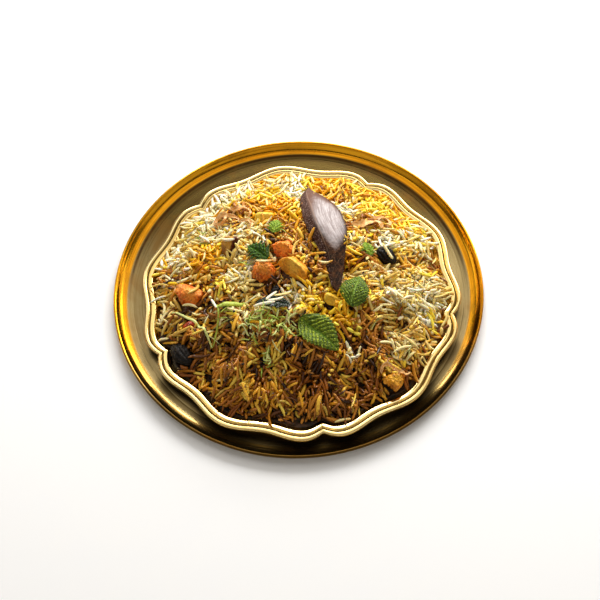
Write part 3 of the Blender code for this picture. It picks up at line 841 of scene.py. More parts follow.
def looseMesh(items, power):
    # every piece at once: centre, plus along its own direction, plus its bend, plus an oval section that
    # narrows to both ends as the root of one less a power of the share of the way out. Returns the points,
    # the faces, each point's share of the way along, and the number of points of one piece
    count = len(items["x"])
    columns = {key: values[:, None] for key, values in items.items() if values.ndim == 1}
    t = np.concatenate([body["rings"], [-1.0, 1.0]])[None, :]
    ahead = np.stack([np.cos(items["turn"]), np.sin(items["turn"]), 0 * items["turn"]], -1)
    left = np.stack([-ahead[:, 1], ahead[:, 0], 0 * items["turn"]], -1)
    level = columns["z"] + columns["slope"] * columns["half"] * t + columns["rise"] * (t ** 2 - 0.3)
    middle = np.stack([columns["x"] + 0 * t, columns["y"] + 0 * t, level], -1)
    forward, aside = (columns["half"] * t)[..., None], sideways(t, columns)[..., None]
    middle = middle + forward * ahead[:, None] + aside * left[:, None]
    angle = np.arange(body["sides"]) / body["sides"] * 2 * np.pi + columns["twist"]
    swell = (np.sqrt(1 - np.abs(body["rings"]) ** power) * items["swell"])[..., None]
    wide = columns["width"][..., None] / 2 * swell * np.cos(angle)[:, None, :]
    tall = columns["thick"][..., None] / 2 * swell * np.sin(angle)[:, None, :]
    lean = items["slope"] / np.sqrt(1 + items["slope"] ** 2)
    lift = np.stack([-lean * ahead[:, 0], -lean * ahead[:, 1], np.sqrt(1 - lean ** 2)], -1)
    left, lift = left[:, None, None], lift[:, None, None]
    rings = middle[:, :-2, None] + wide[..., None] * left + tall[..., None] * lift
    points = np.concatenate([rings.reshape(count, -1, 3), middle[:, -2:]], 1)
    first = (np.arange(count) * points.shape[1])[:, None, None]
    quads, fans = ((faces[None] + first).reshape(-1, faces.shape[1])
                   for faces in tubeFaces(len(body["rings"]), body["sides"]))
    along = np.concatenate([np.repeat(body["rings"], body["sides"]), [-1, 1]])
    return points.reshape(-1, 3), quads, fans, np.tile(along, count), points.shape[1]


def bulk(count, length, width, flat=0.9, bend=0.05, lengthVary=0.12, widthVary=0.12):
    # sizes and bends for a number of loose pieces, in random spreads about the given ones
    long = length * np.clip(rng.normal(1, lengthVary, count), 0.5, 1.4)
    wide = width * np.clip(rng.normal(1, widthVary, count), 0.7, 1.35)
    curl = np.clip(rng.normal(0, bend, count), -2.4 * bend, 2.4 * bend)
    return {
        "half": long / 2, "width": wide, "thick": wide * flat * rng.uniform(0.9, 1.05, count),
        "side": curl * long, "ess": rng.normal(0, 0.35 * bend, count) * long,
        "rise": rng.normal(0, 0.7 * bend, count) * long,
        "twist": rng.uniform(0, 1, count), "swell": rng.uniform(0.88, 1.06, (count, len(body["rings"]))),
        "x": np.zeros(count), "y": np.zeros(count), "z": np.zeros(count), "slope": np.zeros(count),
        "turn": rng.uniform(0, np.pi, count), "tone": rng.random(count),
    }


def settle(items, n, ceiling, swings=(0.0,), bends=(0.0,), sink=0.3, steepest=0.8, nudge=0.0):
    # lays one piece down. For each direction and upward bend tried, a straight line is fitted to the ground
    # under it and raised until only a few places stand above it. The one with the least air under it wins.
    # The ground is then raised to the piece's upper side, unless it would stand above the ceiling.
    feelers = body["feelers"]
    half, width, x, y = items["half"][n], items["width"][n], items["x"][n], items["y"][n]
    swing, bend = (values.ravel() for values in np.meshgrid(swings, bends))
    turn = items["turn"][n] + swing
    cos, sin = np.cos(turn)[:, None], np.sin(turn)[:, None]
    side = sideways(feelers, items, n)
    rise = (items["rise"][n] + bend * 2 * half)[:, None] * (feelers ** 2 - 0.3)
    touch = np.full((len(turn), len(feelers)), nowhere)
    for off in (-body["feelWide"] * width, body["feelWide"] * width):
        feelX = x + half * feelers * cos - (side + off) * sin
        feelY = y + half * feelers * sin + (side + off) * cos
        touch = np.maximum(touch, ground[cellOf(feelX, feelY)])
    touch = touch - rise
    slope = np.clip((touch @ feelers) / (half * (feelers @ feelers)) + nudge, -steepest, steepest)
    above = touch - slope[:, None] * half * feelers
    lie = np.partition(above, -body["bridge"], axis=1)[:, -body["bridge"]]
    best = int(np.argmin(lie - above.mean(1)))
    z = lie[best] + items["thick"][n] / 2 - sink
    if z > ceiling:
        return False
    items["turn"][n], items["slope"][n], items["z"][n] = turn[best], slope[best], z
    items["rise"][n] += bend[best] * 2 * half
    cos, sin = float(cos[best, 0]), float(sin[best, 0])
    reachX, reachY = half * abs(cos) + 2 * width, half * abs(sin) + 2 * width
    rows, cols = cellOf(np.array([x - reachX, x + reachX]), np.array([y - reachY, y + reachY]))
    window = (slice(rows[0], rows[1] + 1), slice(cols[0], cols[1] + 1))
    dx, dy = gridX[window] - x, gridY[window] - y
    t = (dx * cos + dy * sin) / half
    full = np.sqrt(np.maximum(0, 1 - np.abs(t) ** body["power"]))
    level = ((dy * cos - dx * sin - sideways(t, items, n)) / (width / 2 * np.maximum(full, 1e-3))) ** 2
    top = (z + slope[best] * half * t + items["rise"][n] * (t ** 2 - 0.3)
           + items["thick"][n] / 2 * full * np.sqrt(np.maximum(0, 1 - level)))
    patch = ground[window]
    np.maximum(patch, np.where((np.abs(t) < 1) & (level < 1), top, nowhere), out=patch)
    return True


def makeGrainGroup():
    # a grain's own tone from dark to light, stained in clouds, darker at its tips and dusted with spice
    group, given, out = newGroup(
        "grainTone",
        {"Tone": "float", "Along": "float", "Stain": "float", "Place": "vector", "Light": "colour",
         "Middle": "colour", "Dark": "colour", "Stained": "colour"},
        {"Colour": "colour", "Roughness": "float", "Height": "float"})
    cloudy = noise(group, given["Place"], 420, 3, 0.6)
    grit = noise(group, given["Place"], 1700, 2, 0.6)
    tone = blend(group, spread(group, given["Tone"], 0.0, 0.6), given["Dark"], given["Middle"])
    tone = blend(group, spread(group, given["Tone"], 0.3, 1.0), tone, given["Light"])
    soaked = plus(group, given["Stain"], times(group, cloudy, 0.9))
    tone = blend(group, spread(group, soaked, 0.85, 1.3), tone, given["Stained"])
    tips = spread(group, calc(group, "ABSOLUTE", given["Along"]), 0.6, 1.0, 0.0, 0.25)
    tone = blend(group, tips, tone, given["Dark"])
    tone = blend(group, times(group, spread(group, grit, 0.64, 0.74), 0.3), tone, given["Stained"])
    return finishGroup(group, out, {
        "Colour": tone, "Roughness": spread(group, cloudy, 0.3, 0.7, 0.24, 0.46), "Height": cloudy})


grainGroup = makeGrainGroup()


def grainFinish(name, light, middle, dark, stained, glow):
    finish, tree, shader = newFinish(name, {
        "Subsurface Weight": glow, "Subsurface Radius": (1.0, 0.65, 0.35), "Subsurface Scale": 0.0025,
        "Specular IOR Level": 0.42})
    got = useGroup(tree, grainGroup, {
        "Tone": pointValue(tree, "tone"), "Along": pointValue(tree, "along"),
        "Stain": pointValue(tree, "stain"), "Place": objectPlace(tree),
        "Light": light, "Middle": middle, "Dark": dark, "Stained": stained})
    connect(tree, shader, got["Colour"], got["Roughness"], got["Height"], 0.00025, 0.5)
    return finish


# light, middle, dark and stained tone of each kind of grain, and how much light passes into it
grainTones = {
    "riceWhite": (rgb(247, 243, 222), rgb(246, 234, 186), rgb(232, 206, 120), rgb(242, 206, 84), 0.3),
    "riceCream": (rgb(248, 234, 178), rgb(242, 214, 120), rgb(214, 174, 74), rgb(222, 160, 36), 0.25),
    "riceSaffron": (rgb(255, 234, 84), rgb(255, 212, 34), rgb(244, 178, 10), rgb(240, 160, 6), 0.2),
    "riceGolden": (rgb(255, 222, 92), rgb(242, 170, 26), rgb(150, 84, 8), rgb(120, 62, 6), 0.08),
    "riceMasala": (rgb(214, 142, 44), rgb(142, 80, 15), rgb(54, 26, 4), rgb(42, 20, 4), 0.04),
}
grainKinds = {name: grainFinish(name, *tones) for name, tones in grainTones.items()}

# patches of each kind: centre x and y, half width, half depth, strength
patches = {
    "riceWhite": [
        (-70, 108, 26, 16, 4), (-94, 78, 24, 26, 4), (-112, 46, 16, 24, 3), (-88, 60, 22, 14, 4),
        (-45, 54, 15, 14, 4), (-52, 28, 18, 10, 3), (-62, 6, 20, 8, 1.2), (-36, 116, 18, 10, 2),
        (-4, 114, 12, 16, 2.5), (6, 100, 8, 12, 2), (94, 74, 14, 10, 1), (122, 60, 8, 20, 2.5),
        (48, 76, 9, 14, 3), (88, 42, 18, 9, 4), (112, 34, 12, 12, 2.5), (104, -18, 27, 17, 9),
        (122, -4, 12, 17, 2.4), (76, -14, 16, 8, 1.6), (-104, 68, 14, 12, 3), (40, -73, 6, 5, 4),
        (74, -2, 22, 9, 1.4), (52, 44, 10, 8, 1), (64, 106, 7, 5, 2), (-6, -22, 12, 8, 2),
        (-38, -28, 12, 6, 1.5), (-44, 14, 12, 9, 1.6), (-64, 23, 18, 7, 6), (98, -25, 13, 9, 9),
        (58, 72, 8, 7, 4)],
    "riceCream": [
        (-97, 16, 10, 7, 5), (82, -44, 13, 9, 8), (2, -40, 9, 6, 5), (108, 28, 10, 12, 5),
        (-48, -15, 9, 7, 4), (76, -4, 26, 12, 2.4), (-50, -4, 20, 14, 2), (-118, -14, 10, 18, 1.6),
        (-86, -30, 20, 6, 0.8), (-44, -40, 28, 12, 2), (94, -60, 20, 13, 3), (112, -4, 18, 20, 1.2),
        (56, -14, 9, 12, 1), (-22, -50, 22, 8, 1.6), (-100, 38, 16, 10, 1.5), (8, 24, 14, 12, 0.8),
        (-110, -40, 10, 12, 1.2), (100, 4, 20, 8, 1), (104, -16, 26, 18, 2), (-30, -100, 8, 6, 1),
        (8, -14, 13, 10, 1.6), (84, -44, 18, 9, 1.4), (10, -112, 10, 6, 1), (60, -104, 8, 6, 1),
        (-64, -92, 8, 6, 0.8), (-14, -84, 8, 5, 0.8)],
    "riceSaffron": [
        (20, -37, 13, 9, 4), (28, -48, 7, 6, 5), (-80, 24, 8, 6, 4), (-48, 80, 8, 8, 3),
        (-30, 100, 18, 14, 2.6), (-12, 92, 14, 14, 1.5), (28, 114, 20, 12, 4), (46, 102, 22, 16, 3.4),
        (76, 88, 18, 16, 3), (60, 84, 14, 10, 2), (98, 64, 16, 20, 2.4), (84, 54, 12, 8, 1),
        (-80, 38, 14, 12, 5), (-70, -2, 16, 9, 1.5), (14, -28, 30, 13, 2.6), (28, -42, 22, 9, 2.4),
        (-16, 68, 20, 9, 3), (-92, 20, 18, 10, 1.2), (-106, 18, 14, 12, 1.6), (50, 13, 12, 9, 1.2),
        (-75, 16, 16, 10, 1.0), (112, -30, 12, 9, 1.6), (36, -50, 8, 6, 4), (110, 56, 12, 20, 1.2),
        (-92, 50, 6, 6, 3), (84, -90, 9, 8, 2)],
    "riceGolden": [
        (-96, -73, 10, 8, 4), (-8, -96, 12, 10, 3), (-80, -63, 9, 7, 3), (-57, 62, 8, 8, 4),
        (72, 48, 9, 6, 4), (-86, 0, 9, 6, 3), (72, -16, 12, 8, 4), (48, 48, 8, 6, 3), (-32, -80, 10, 8, 3),
        (-8, -82, 10, 6, 2.5), (48, 92, 18, 10, 1), (44, 104, 18, 13, 5), (98, 20, 18, 12, 4),
        (112, -36, 14, 9, 1.5), (74, -40, 18, 12, 1.5), (60, -12, 10, 12, 1), (-86, 16, 20, 12, 2),
        (6, 14, 26, 20, 2.2), (4, 44, 20, 22, 2.4), (-62, 78, 15, 13, 1.6), (-40, 88, 10, 14, 2.4),
        (76, -92, 22, 13, 4), (-10, -96, 66, 22, 2.4), (-60, -62, 18, 8, 1.2), (102, -56, 14, 14, 1.2),
        (48, -106, 16, 10, 1.2), (60, 62, 14, 12, 1.2), (-72, -84, 24, 12, 1.4), (50, -106, 16, 12, 1.2),
        (-82, -18, 26, 12, 1.6), (-76, -42, 20, 12, 1.3), (56, 12, 18, 10, 1.2)],
    "riceMasala": [
        (-6, -123, 38, 10, 4), (-104, -62, 22, 16, 2.4), (46, -66, 15, 12, 2.4), (6, -74, 28, 9, 1.6),
        (-112, 20, 9, 8, 1.5), (-60, -78, 26, 10, 1), (60, -72, 14, 12, 1), (-16, -8, 12, 8, 1.5),
        (-90, -16, 26, 12, 1.6), (-22, -12, 10, 8, 4), (-74, -16, 18, 11, 4), (14, 12, 13, 11, 2.2),
        (-8, -42, 14, 10, 2.4), (14, -80, 16, 9, 2.4), (-76, -72, 18, 12, 1.6), (-110, -50, 14, 10, 1.2),
        (60, -56, 14, 8, 1.2), (-86, -44, 22, 14, 1.3), (70, 18, 16, 9, 1.6), (44, -110, 20, 10, 2),
        (-44, -48, 18, 9, 1.2), (-44, -76, 16, 10, 1.2)],
}

# hollows in the heap, darkened by masala grains as painted shade: x, y, radius and depth; a negative depth is
# a mound
hollows = [
    (-26, -16, 9, 7), (16, 24, 8, 8), (32, -102, 12, 6), (-72, -19, 8, 3), (-94, -42, 8, 3),
    (-2, -116, 12, 6), (51, -40, 7, 3), (-61, -76, 10, 4), (-4, -62, 10, 5), (39, -62, 7, 4),
    (-108, -56, 8, 4), (-80, -38, 7, 3), (64, -63, 8, 4), (62, -49, 7, 3), (-112, 16, 7, 2),
    (-62, -27, 7, 2.5), (-96, -16, 9, 3), (-16, 40, 6, 2.5), (8, 40, 7, 2.5), (-86, 0, 8, 3),
    (94, -24, 14, -2.5), (82, -42, 11, -2.5), (-58, 20, 13, -1.5), (-43, -15, 8, -1.5),
    (102, 32, 10, -1.5), (8, -30, 10, -1.5), (-32, -82, 10, -3), (-8, -96, 10, -2)]


def hollowDepth(x, y):
    # each hollow is a bell of its own depth
    return sum(depth * np.exp(-((x - cx) ** 2 + (y - cy) ** 2) / reach ** 2)
               for cx, cy, reach, depth in hollows)


# each kind's share at the back, in the middle and at the front, before the patches are added
baseShares = {
    "riceWhite": (0.26, 0.15, 0.01), "riceCream": (0.34, 0.34, 0.07), "riceSaffron": (0.3, 0.22, 0.05),
    "riceGolden": (0.14, 0.34, 0.6), "riceMasala": (0.02, 0.06, 0.34),
}
# how much masala rice a millimetre of hollow adds as painted shade, and the power that sets the kinds apart
mixing = {"shadeInHollows": 0.8, "power": 1.35}


def kindShares(x, y):
    # how likely each kind is at a place: a share that changes from front to back, plus masala rice in the
    # hollows as painted shade, plus the patches, all to a power
    front = np.clip((-y - 36) / 26, 0, 1)
    middle = np.clip((62 + y) / 26, 0, 1) * np.clip((52 - y) / 20, 0, 1)
    far = np.clip((y - 32) / 20, 0, 1)
    shares = []
    for name, (farShare, middleShare, frontShare) in baseShares.items():
        total = farShare * far + middleShare * middle + frontShare * front
        if name == "riceMasala":
            total = total + mixing["shadeInHollows"] * np.maximum(0, hollowDepth(x, y))
        for cx, cy, rx, ry, strength in patches[name]:
            total = total + strength * np.exp(-(((x - cx) / rx) ** 2 + ((y - cy) / ry) ** 2) ** 1.5)
        shares.append(total)
    shares = np.stack(shares, -1) ** mixing["power"]
    return shares / shares.sum(-1, keepdims=True)


rice = {
    "count": 9600, "length": 12.3, "lengthVary": 0.28, "width": 2.65, "widthVary": 0.14, "flat": 0.92,
    "bend": 0.07, "power": 3.4,
    # places tried for each grain, the share dropped on any of them, and the room a grain needs under the
    # heap's surface; how far over it a grain may stand; directions and bends tried
    "tries": 5, "loose": 0.12, "room": 0.6, "ceiling": 2.8,
    "swings": (-0.7, -0.3, 0.0, 0.3, 0.7), "bends": (-0.10, -0.03, 0.05),
    # bumps of the heap, more of them at the front, and their reach; how far it clears the vegetables; how
    # far it rises at the far rim; how far its edge lies outwards, and how much less at the front
    "bumps": 1.0, "frontBumps": 3.5, "bumpReach": 5.0, "clear": 7.5, "rimLift": 1.0, "edgeOut": 0.5,
    "frontGap": 3.0,
    # broken grains: lengths, share in the middle, at the front and elsewhere, and where those places are
    "stub": (3.5, 7.5), "brokenMiddle": 0.45, "brokenFront": 0.34, "brokenElse": 0.2,
    "middleX": (-60, 60), "middleY": (-60, 52), "frontY": -62,
    # share that points outwards, near the edge and further in, where the edge begins, and how far they swing
    "outwardEdge": 0.62, "outwardIn": 0.25, "edgeFrom": 0.7, "swing": 0.45,
    # share of grains that lie steeper or flatter than their ground, and by how much
    "nudged": 0.4, "nudge": 0.36,
    # clouds of light and dark tone, how strong they are, how much single grains vary, how far kinds stray
    "clump": 6.0, "clumpTone": 0.28, "toneVary": 0.24, "stray": 3,
}


def makeLoose(name, items, finish, power):
    # one piece of all the items, with a tone and a stain for each, which changes along it
    points, quads, fans, along, each = looseMesh(items, power)
    total = len(items["x"])
    stain, change = rng.normal(0.25, 0.28, total), rng.normal(0, 0.3, total)
    stain = np.repeat(stain, each) + along * np.repeat(change, each)
    makePiece(name, points, quads, fans, finish, {
        "tone": np.repeat(items["tone"], each), "along": along, "stain": stain})


def brokenShare(x, y):
    # how many of the grains at a place are broken short
    if rice["middleX"][0] < x < rice["middleX"][1] and rice["middleY"][0] < y < rice["middleY"][1]:
        return rice["brokenMiddle"]
    return rice["brokenFront"] if y <= rice["frontY"] else rice["brokenElse"]


def wantedHeight():
    # the heap's surface with bumps, a raised far rim, a clearing round each vegetable, hollows and mounds
    toFront, fromEdge = np.clip((30 - gridY) / 60, 0, 1), np.clip((1 - shareOut) * 8, 0, 1)
    bumps = rice["bumps"] + rice["frontBumps"] * toFront * fromEdge
    farRim = rice["rimLift"] * np.clip(gridY / 60, 0, 1) * shareOut ** 4
    wanted = surface + cloud(rice["bumpReach"]) * bumps + farRim
    return wanted - rice["clear"] * np.clip(vegetables * 1.6 - 0.2, 0, 1) - hollowDepth(gridX, gridY)


def layRice():
    # grains drop one by one on the lowest of a few random places, turned outwards more often near the edge,
    # until the heap reaches its wanted height; a share of them is broken short
    count, tries = rice["count"], rice["tries"]
    grains = bulk(count, rice["length"], rice["width"], rice["flat"], rice["bend"], rice["lengthVary"],
                  rice["widthVary"])
    wanted = wantedHeight()
    seekTurn = rng.uniform(0, 2 * np.pi, (count, tries))
    seekOut = np.sqrt(rng.uniform(0, 1, (count, tries)))
    atFront = np.clip(-1.6 * np.sin(seekTurn), 0, 1)
    edge = heapEdge(np.degrees(seekTurn)) + rice["edgeOut"] - rice["frontGap"] * atFront
    seekX, seekY = np.cos(seekTurn) * seekOut * edge, np.sin(seekTurn) * seekOut * edge
    anywhere = rng.random(count) < rice["loose"]
    broken, stub = rng.random(count), rng.uniform(*rice["stub"], count)
    outward, swing = rng.random(count), rng.normal(0, rice["swing"], count)
    nudge = np.where(rng.random(count) < rice["nudged"], rng.normal(0, rice["nudge"], count), 0)
    laid = np.zeros(count, bool)
    for n in range(count):
        row, col = cellOf(seekX[n], seekY[n])
        short = ground[row, col] - wanted[row, col]
        pick = int(rng.integers(tries)) if anywhere[n] else int(np.argmin(short))
        if short[pick] > -rice["room"]:
            continue
        x, y = seekX[n, pick], seekY[n, pick]
        grains["x"][n], grains["y"][n] = x, y
        if broken[n] < brokenShare(x, y):
            shrink = stub[n] / 2 / grains["half"][n]
            for key in ("half", "side", "ess", "rise"):
                grains[key][n] *= shrink
        if outward[n] < (rice["outwardEdge"] if seekOut[n, pick] > rice["edgeFrom"] else rice["outwardIn"]):
            grains["turn"][n] = math.atan2(y, x) + swing[n]
        ceiling = wanted[row[pick], col[pick]] + rice["ceiling"]
        laid[n] = settle(grains, n, ceiling, rice["swings"], rice["bends"], nudge=nudge[n])
    clouds = rice["clumpTone"] * cloud(rice["clump"])[cellOf(grains["x"], grains["y"])]
    grains["tone"] = np.clip(0.5 + clouds + rng.normal(0, rice["toneVary"], count), 0, 1)
    over = (ground - surface)[shareOut < 0.9]
    print(f"{laid.sum()} grains; they stand {over.mean():.2f} mm over the heap's surface, "
          f"{np.percentile(over, 5):.1f} to {np.percentile(over, 95):.1f}")
    return {key: values[laid] for key, values in grains.items()}


def makeRice(grains):
    # sorts the grains into kinds by about where they lie, and makes one piece of each kind
    x, y = (grains[axis] + rng.normal(0, rice["stray"], len(grains[axis])) for axis in ("x", "y"))
    kindOf = (rng.random(len(x))[:, None] > np.cumsum(kindShares(x, y), axis=1)).sum(1)
    for index, name in enumerate(grainKinds):
        chosen = {key: values[kindOf == index] for key, values in grains.items()}
        print(f"{name}: {len(chosen['x'])} grains")
        makeLoose(name, chosen, grainKinds[name], rice["power"])


makeRice(layRice())
report("rice settled")


def makeMashFinish():
    # what shows between the grains, in painted light and shade: pale gold at the back and towards the right,
    # near black at the front, with browns partly the spice's own
    finish, tree, shader = newFinish("riceCoreShade")
    place = objectPlace(tree)
    mash = noise(tree, place, 260, 5, 0.65, 0.4)
    deep = noise(tree, place, 40, 3)
    apart = addNode(tree, "ShaderNodeSeparateXYZ", {"Vector": place}).outputs
    # painted light towards the back and the right, painted shade towards the front
    toBack = plus(tree, apart["Y"], spread(tree, apart["X"], 0.05, 0.1, 0.0, 0.06))
    tone = blend(tree, spread(tree, toBack, -0.06, 0.0), rgb(14, 6, 2), rgb(84, 50, 12))
    tone = blend(tree, spread(tree, toBack, 0.0, 0.05), tone, rgb(246, 214, 120))
    tone = blend(tree, times(tree, spread(tree, mash, 0.4, 0.68), 0.6), tone, rgb(96, 58, 14))
    tone = blend(tree, times(tree, spread(tree, deep, 0.5, 0.8), 0.4), tone, rgb(190, 136, 44))
    connect(tree, shader, tone, spread(tree, mash, 0.3, 0.7, 0.4, 0.7), mash, 0.002, 0.8)
    return finish


def makeCore():
    # the heap's surface lowered by the core's depth, closed over the plate's well
    turn = np.arange(core["segments"]) * 360 / core["segments"]
    cosTurn, sinTurn = np.cos(np.radians(turn)), np.sin(np.radians(turn))
    shares = np.linspace(1, 0, core["rings"], endpoint=False)[:, None]
    reach = heapEdge(turn) * shares * core["inset"]
    top = [reach * cosTurn, reach * sinTurn]
    cell = cellOf(*top)
    lumps = core["lumps"] * cloud(core["lumpReach"])[cell] * np.clip((1 - shares) * core["rise"], 0, 1)
    top.append(coreTop[cell] + lumps)
    rings = []
    for height, share, out in core["wall"]:
        wallReach = dish["radius"] + out + share * scallop(turn)
        rings.append(np.stack([wallReach * cosTurn, wallReach * sinTurn, plateBase + height + 0 * turn], -1))
    rings = np.concatenate([rings, np.stack(top, -1)])
    crown = coreTop[cellOf(np.array([0.0]), np.array([0.0]))][0]
    poles = [(0, 0, plateBase + core["wall"][0][0]), (0, 0, crown)]
    piece = makeTube("riceCore", rings, poles, makeMashFinish())
    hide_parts("rice")


makeCore()
report("core made")


def fibreFinish(name, bright, deep, gloss=0.35):
    # each bit's own tone between two, cloudy and darker at its ends
    finish, tree, shader = newFinish(name)
    shade = noise(tree, objectPlace(tree), 420, 4, 0.6)
    tone = blend(tree, pointValue(tree, "tone"), deep, bright)
    tone = blend(tree, spread(tree, shade, 0.4, 0.7, 0.0, 0.5), tone, deep)
    ends = spread(tree, calc(tree, "ABSOLUTE", pointValue(tree, "along")), 0.6, 1.0, 0.0, 0.5)
    tone = blend(tree, ends, tone, deep)
    connect(tree, shader, tone, spread(tree, shade, 0.3, 0.7, gloss, gloss + 0.2), shade, 0.0003, 0.6)
    return finish


greenShred = fibreFinish("greenShred", rgb(214, 228, 92), rgb(114, 144, 26))
paleShred = fibreFinish("paleShred", rgb(244, 238, 190), rgb(176, 176, 92))
leekShred = fibreFinish("leekShred", rgb(246, 248, 172), rgb(164, 188, 62))
brownShred = fibreFinish("brownShred", rgb(206, 130, 58), rgb(72, 32, 12), 0.28)
seedDark = fibreFinish("seedDark", rgb(78, 50, 30), rgb(20, 11, 8), 0.3)
crumbGolden = fibreFinish("crumbGolden", rgb(224, 160, 62), rgb(126, 70, 20), 0.4)

# what bits of a sort share: how flat, bent and uneven they are, how deep they sink in, the power of their
# taper, how far over the heap they may stand, and their slot
shred = {"flat": 0.7, "bend": 0.14, "vary": 0.3, "sink": 0.2, "power": 2.6, "above": 2.5, "slot": "young_herb"}
crumb = {"flat": 0.9, "bend": 0.04, "vary": 0.3, "sink": 0.5, "power": 2.0, "above": 2.5, "slot": "rice"}
broken = {"flat": 0.9, "bend": 0.05, "vary": 0.3, "sink": 0.4, "power": 3.0, "above": 2.5, "slot": "rice"}

# scattered bits: size and finish, what differs from their sort, and patches of centre x, y, radius and
# number
bits = {
    "greenShreds": {
        **shred, "length": 10.5, "width": 1.35, "flat": 0.6, "bend": 0.2, "finish": greenShred,
        "patches": [(-27, -48, 14, 30), (-42, -42, 9, 9), (-12, -54, 8, 9), (-30, -78, 12, 8),
                    (8, -66, 9, 2), (-15, 50, 5, 4), (-47, 15, 9, 4), (-85, 58, 9, 5), (60, 22, 4, 3),
                    (-63, -37, 12, 5)]},
    "paleShreds": {
        **shred, "length": 15.0, "width": 1.3, "flat": 0.8, "bend": 0.13, "vary": 0.25, "finish": paleShred,
        "patches": [(-29, -48, 20, 16), (-71, -28, 16, 7), (59, -52, 20, 5), (98, -60, 16, 6),
                    (28, -124, 8, 3)]},
    "onionShreds": {
        **shred, "length": 9.0, "width": 1.7, "vary": 0.35, "finish": brownShred, "slot": "fried_onion",
        "patches": [(-59, 71, 14, 5), (-45, 85, 8, 2), (65, 53, 14, 5), (-96, -22, 20, 8),
                    (-61, -67, 30, 14), (9, -87, 40, 22), (59, -77, 22, 14), (4, 38, 16, 7),
                    (-105, 15, 10, 5), (-17, -8, 12, 6)]},
    "seeds": {
        **crumb, "length": 2.8, "width": 1.5, "bend": 0.02, "finish": seedDark, "slot": "black_cardamom",
        "patches": [(0, 0, 110, 44), (88, -18, 26, 12), (59, -55, 2, 1), (-20, -60, 60, 14)]},
    "brokenGold": {
        **broken, "length": 4.6, "width": 2.8, "finish": grainKinds["riceGolden"],
        "patches": [(5, 26, 24, 50), (-60, 12, 26, 36), (92, 16, 20, 30), (60, -4, 14, 14),
                    (0, -80, 70, 50), (-15, 45, 14, 20)]},
    "brokenYellow": {
        **broken, "length": 5.2, "width": 3.5, "finish": grainKinds["riceSaffron"],
        "patches": [(15, -28, 30, 70), (30, -46, 18, 30), (3, 24, 26, 20), (-78, 36, 14, 18),
                    (-14, 66, 14, 14), (40, 100, 24, 20)]},
    "brokenWhite": {
        **broken, "length": 6.0, "width": 2.5, "bend": 0.08, "finish": grainKinds["riceWhite"],
        "patches": [(104, -18, 26, 70), (-72, 104, 26, 50), (-108, 50, 22, 40), (-46, 54, 18, 30),
                    (88, 42, 20, 36), (-52, 28, 14, 12), (40, -73, 6, 6), (-6, -22, 12, 10)]},
    "brokenCream": {
        **broken, "length": 4.8, "width": 2.9, "finish": grainKinds["riceCream"],
        "patches": [(-40, 10, 24, 40), (-60, -10, 24, 30), (10, -14, 16, 30), (-90, 0, 16, 20),
                    (96, 0, 24, 30), (-70, 60, 24, 24), (60, 50, 16, 16)]},
    "herbCurls": {
        **shred, "length": 8.5, "width": 1.8, "bend": 0.3, "finish": leekShred, "above": 5.0,
        "patches": [(-28, -47, 15, 30), (-8, -53, 9, 9), (-42, -50, 8, 8), (-31, -74, 6, 7)]},
    "spiceCrumbs": {
        **crumb, "length": 3.4, "width": 2.2, "flat": 0.85, "vary": 0.35, "finish": crumbGolden,
        "patches": [(0, -96, 60, 110), (-70, -62, 34, 40), (63, -72, 34, 44), (3, 24, 24, 50),
                    (9, -32, 30, 14), (-60, 72, 14, 8)]},
}
# how far out bits may lie, how near a vegetable, the share that may lie on one, how steeply a bit may lie,
# and the blur of the ground that they may pile up on
scattering = {"out": 121, "near": 0.3, "onTop": 0.15, "steepest": 0.6, "smooth": 3.0}


def scatter(name, items, places, finish, ceilings, sink, power):
    # lays loose pieces at given places, one after another, and leaves out those that would pile up too high
    items["x"][:], items["y"][:] = places[:, 0], places[:, 1]
    highest = ceilings[cellOf(places[:, 0], places[:, 1])]
    laid = np.array([settle(items, n, highest[n], sink=sink, steepest=scattering["steepest"])
                     for n in range(len(places))])
    makeLoose(name, {key: values[laid] for key, values in items.items()}, finish, power)


heapTop = np.maximum(surface, soften(ground, scattering["smooth"]))
for name, bit in bits.items():
    spots = np.vstack([np.array([x, y]) + reach * rng.normal(0, 0.5, (many, 2))
                       for x, y, reach, many in bit["patches"]])
    mayLieOn = rng.random(len(spots)) < scattering["onTop"]
    free = vegetables[cellOf(*spots.T)] < scattering["near"] + mayLieOn
    spots = spots[(np.hypot(spots[:, 0], spots[:, 1]) < scattering["out"]) & free]
    items = bulk(len(spots), bit["length"], bit["width"], bit["flat"], bit["bend"], bit["vary"])
    scatter(name, items, spots, bit["finish"], heapTop + bit["above"], bit["sink"], bit["power"])


def layOn(x, y, up, follow, press, lift=0.0):
    # rests a thin shape on the heap: its own heights ride on the blurred ground, raised until all but a
    # few of its points clear what is under it
    row, col = cellOf(x, y)
    bed = soften(ground, follow)[row, col] + up
    return np.stack([x, y, bed + np.percentile(ground[row, col] - bed, press) + lift], -1)


def thicken(sheet, depth):
    # closes a sheet of points into a thin solid: the sheet, its underside a set depth below along the
    # normal, and the edge between; faces turn so that the sheet looks up
    rows, cols = sheet.shape[:2]
    normal = unit(np.cross(np.gradient(sheet, axis=0), np.gradient(sheet, axis=1)))
    upward = normal[..., 2].mean() > 0
    under = sheet - normal * (depth if upward else -depth)
    quads = gridQuads(rows, cols)
    index = np.arange(rows * cols).reshape(rows, cols)
    loop = np.concatenate([index[0, :], index[1:, -1], index[-1, -2::-1], index[-2:0:-1, 0]])
    beside = np.roll(loop, -1)
    rim = np.stack([loop, loop + rows * cols, beside + rows * cols, beside], -1)
    faces = np.vstack([quads, quads[:, ::-1] + rows * cols, rim])
    points = np.vstack([sheet.reshape(-1, 3), under.reshape(-1, 3)])
    first = points[quads[0]]
    looksDown = np.cross(first[1] - first[0], first[3] - first[0])[2] < 0
    return points, faces[:, ::-1] if looksDown else faces


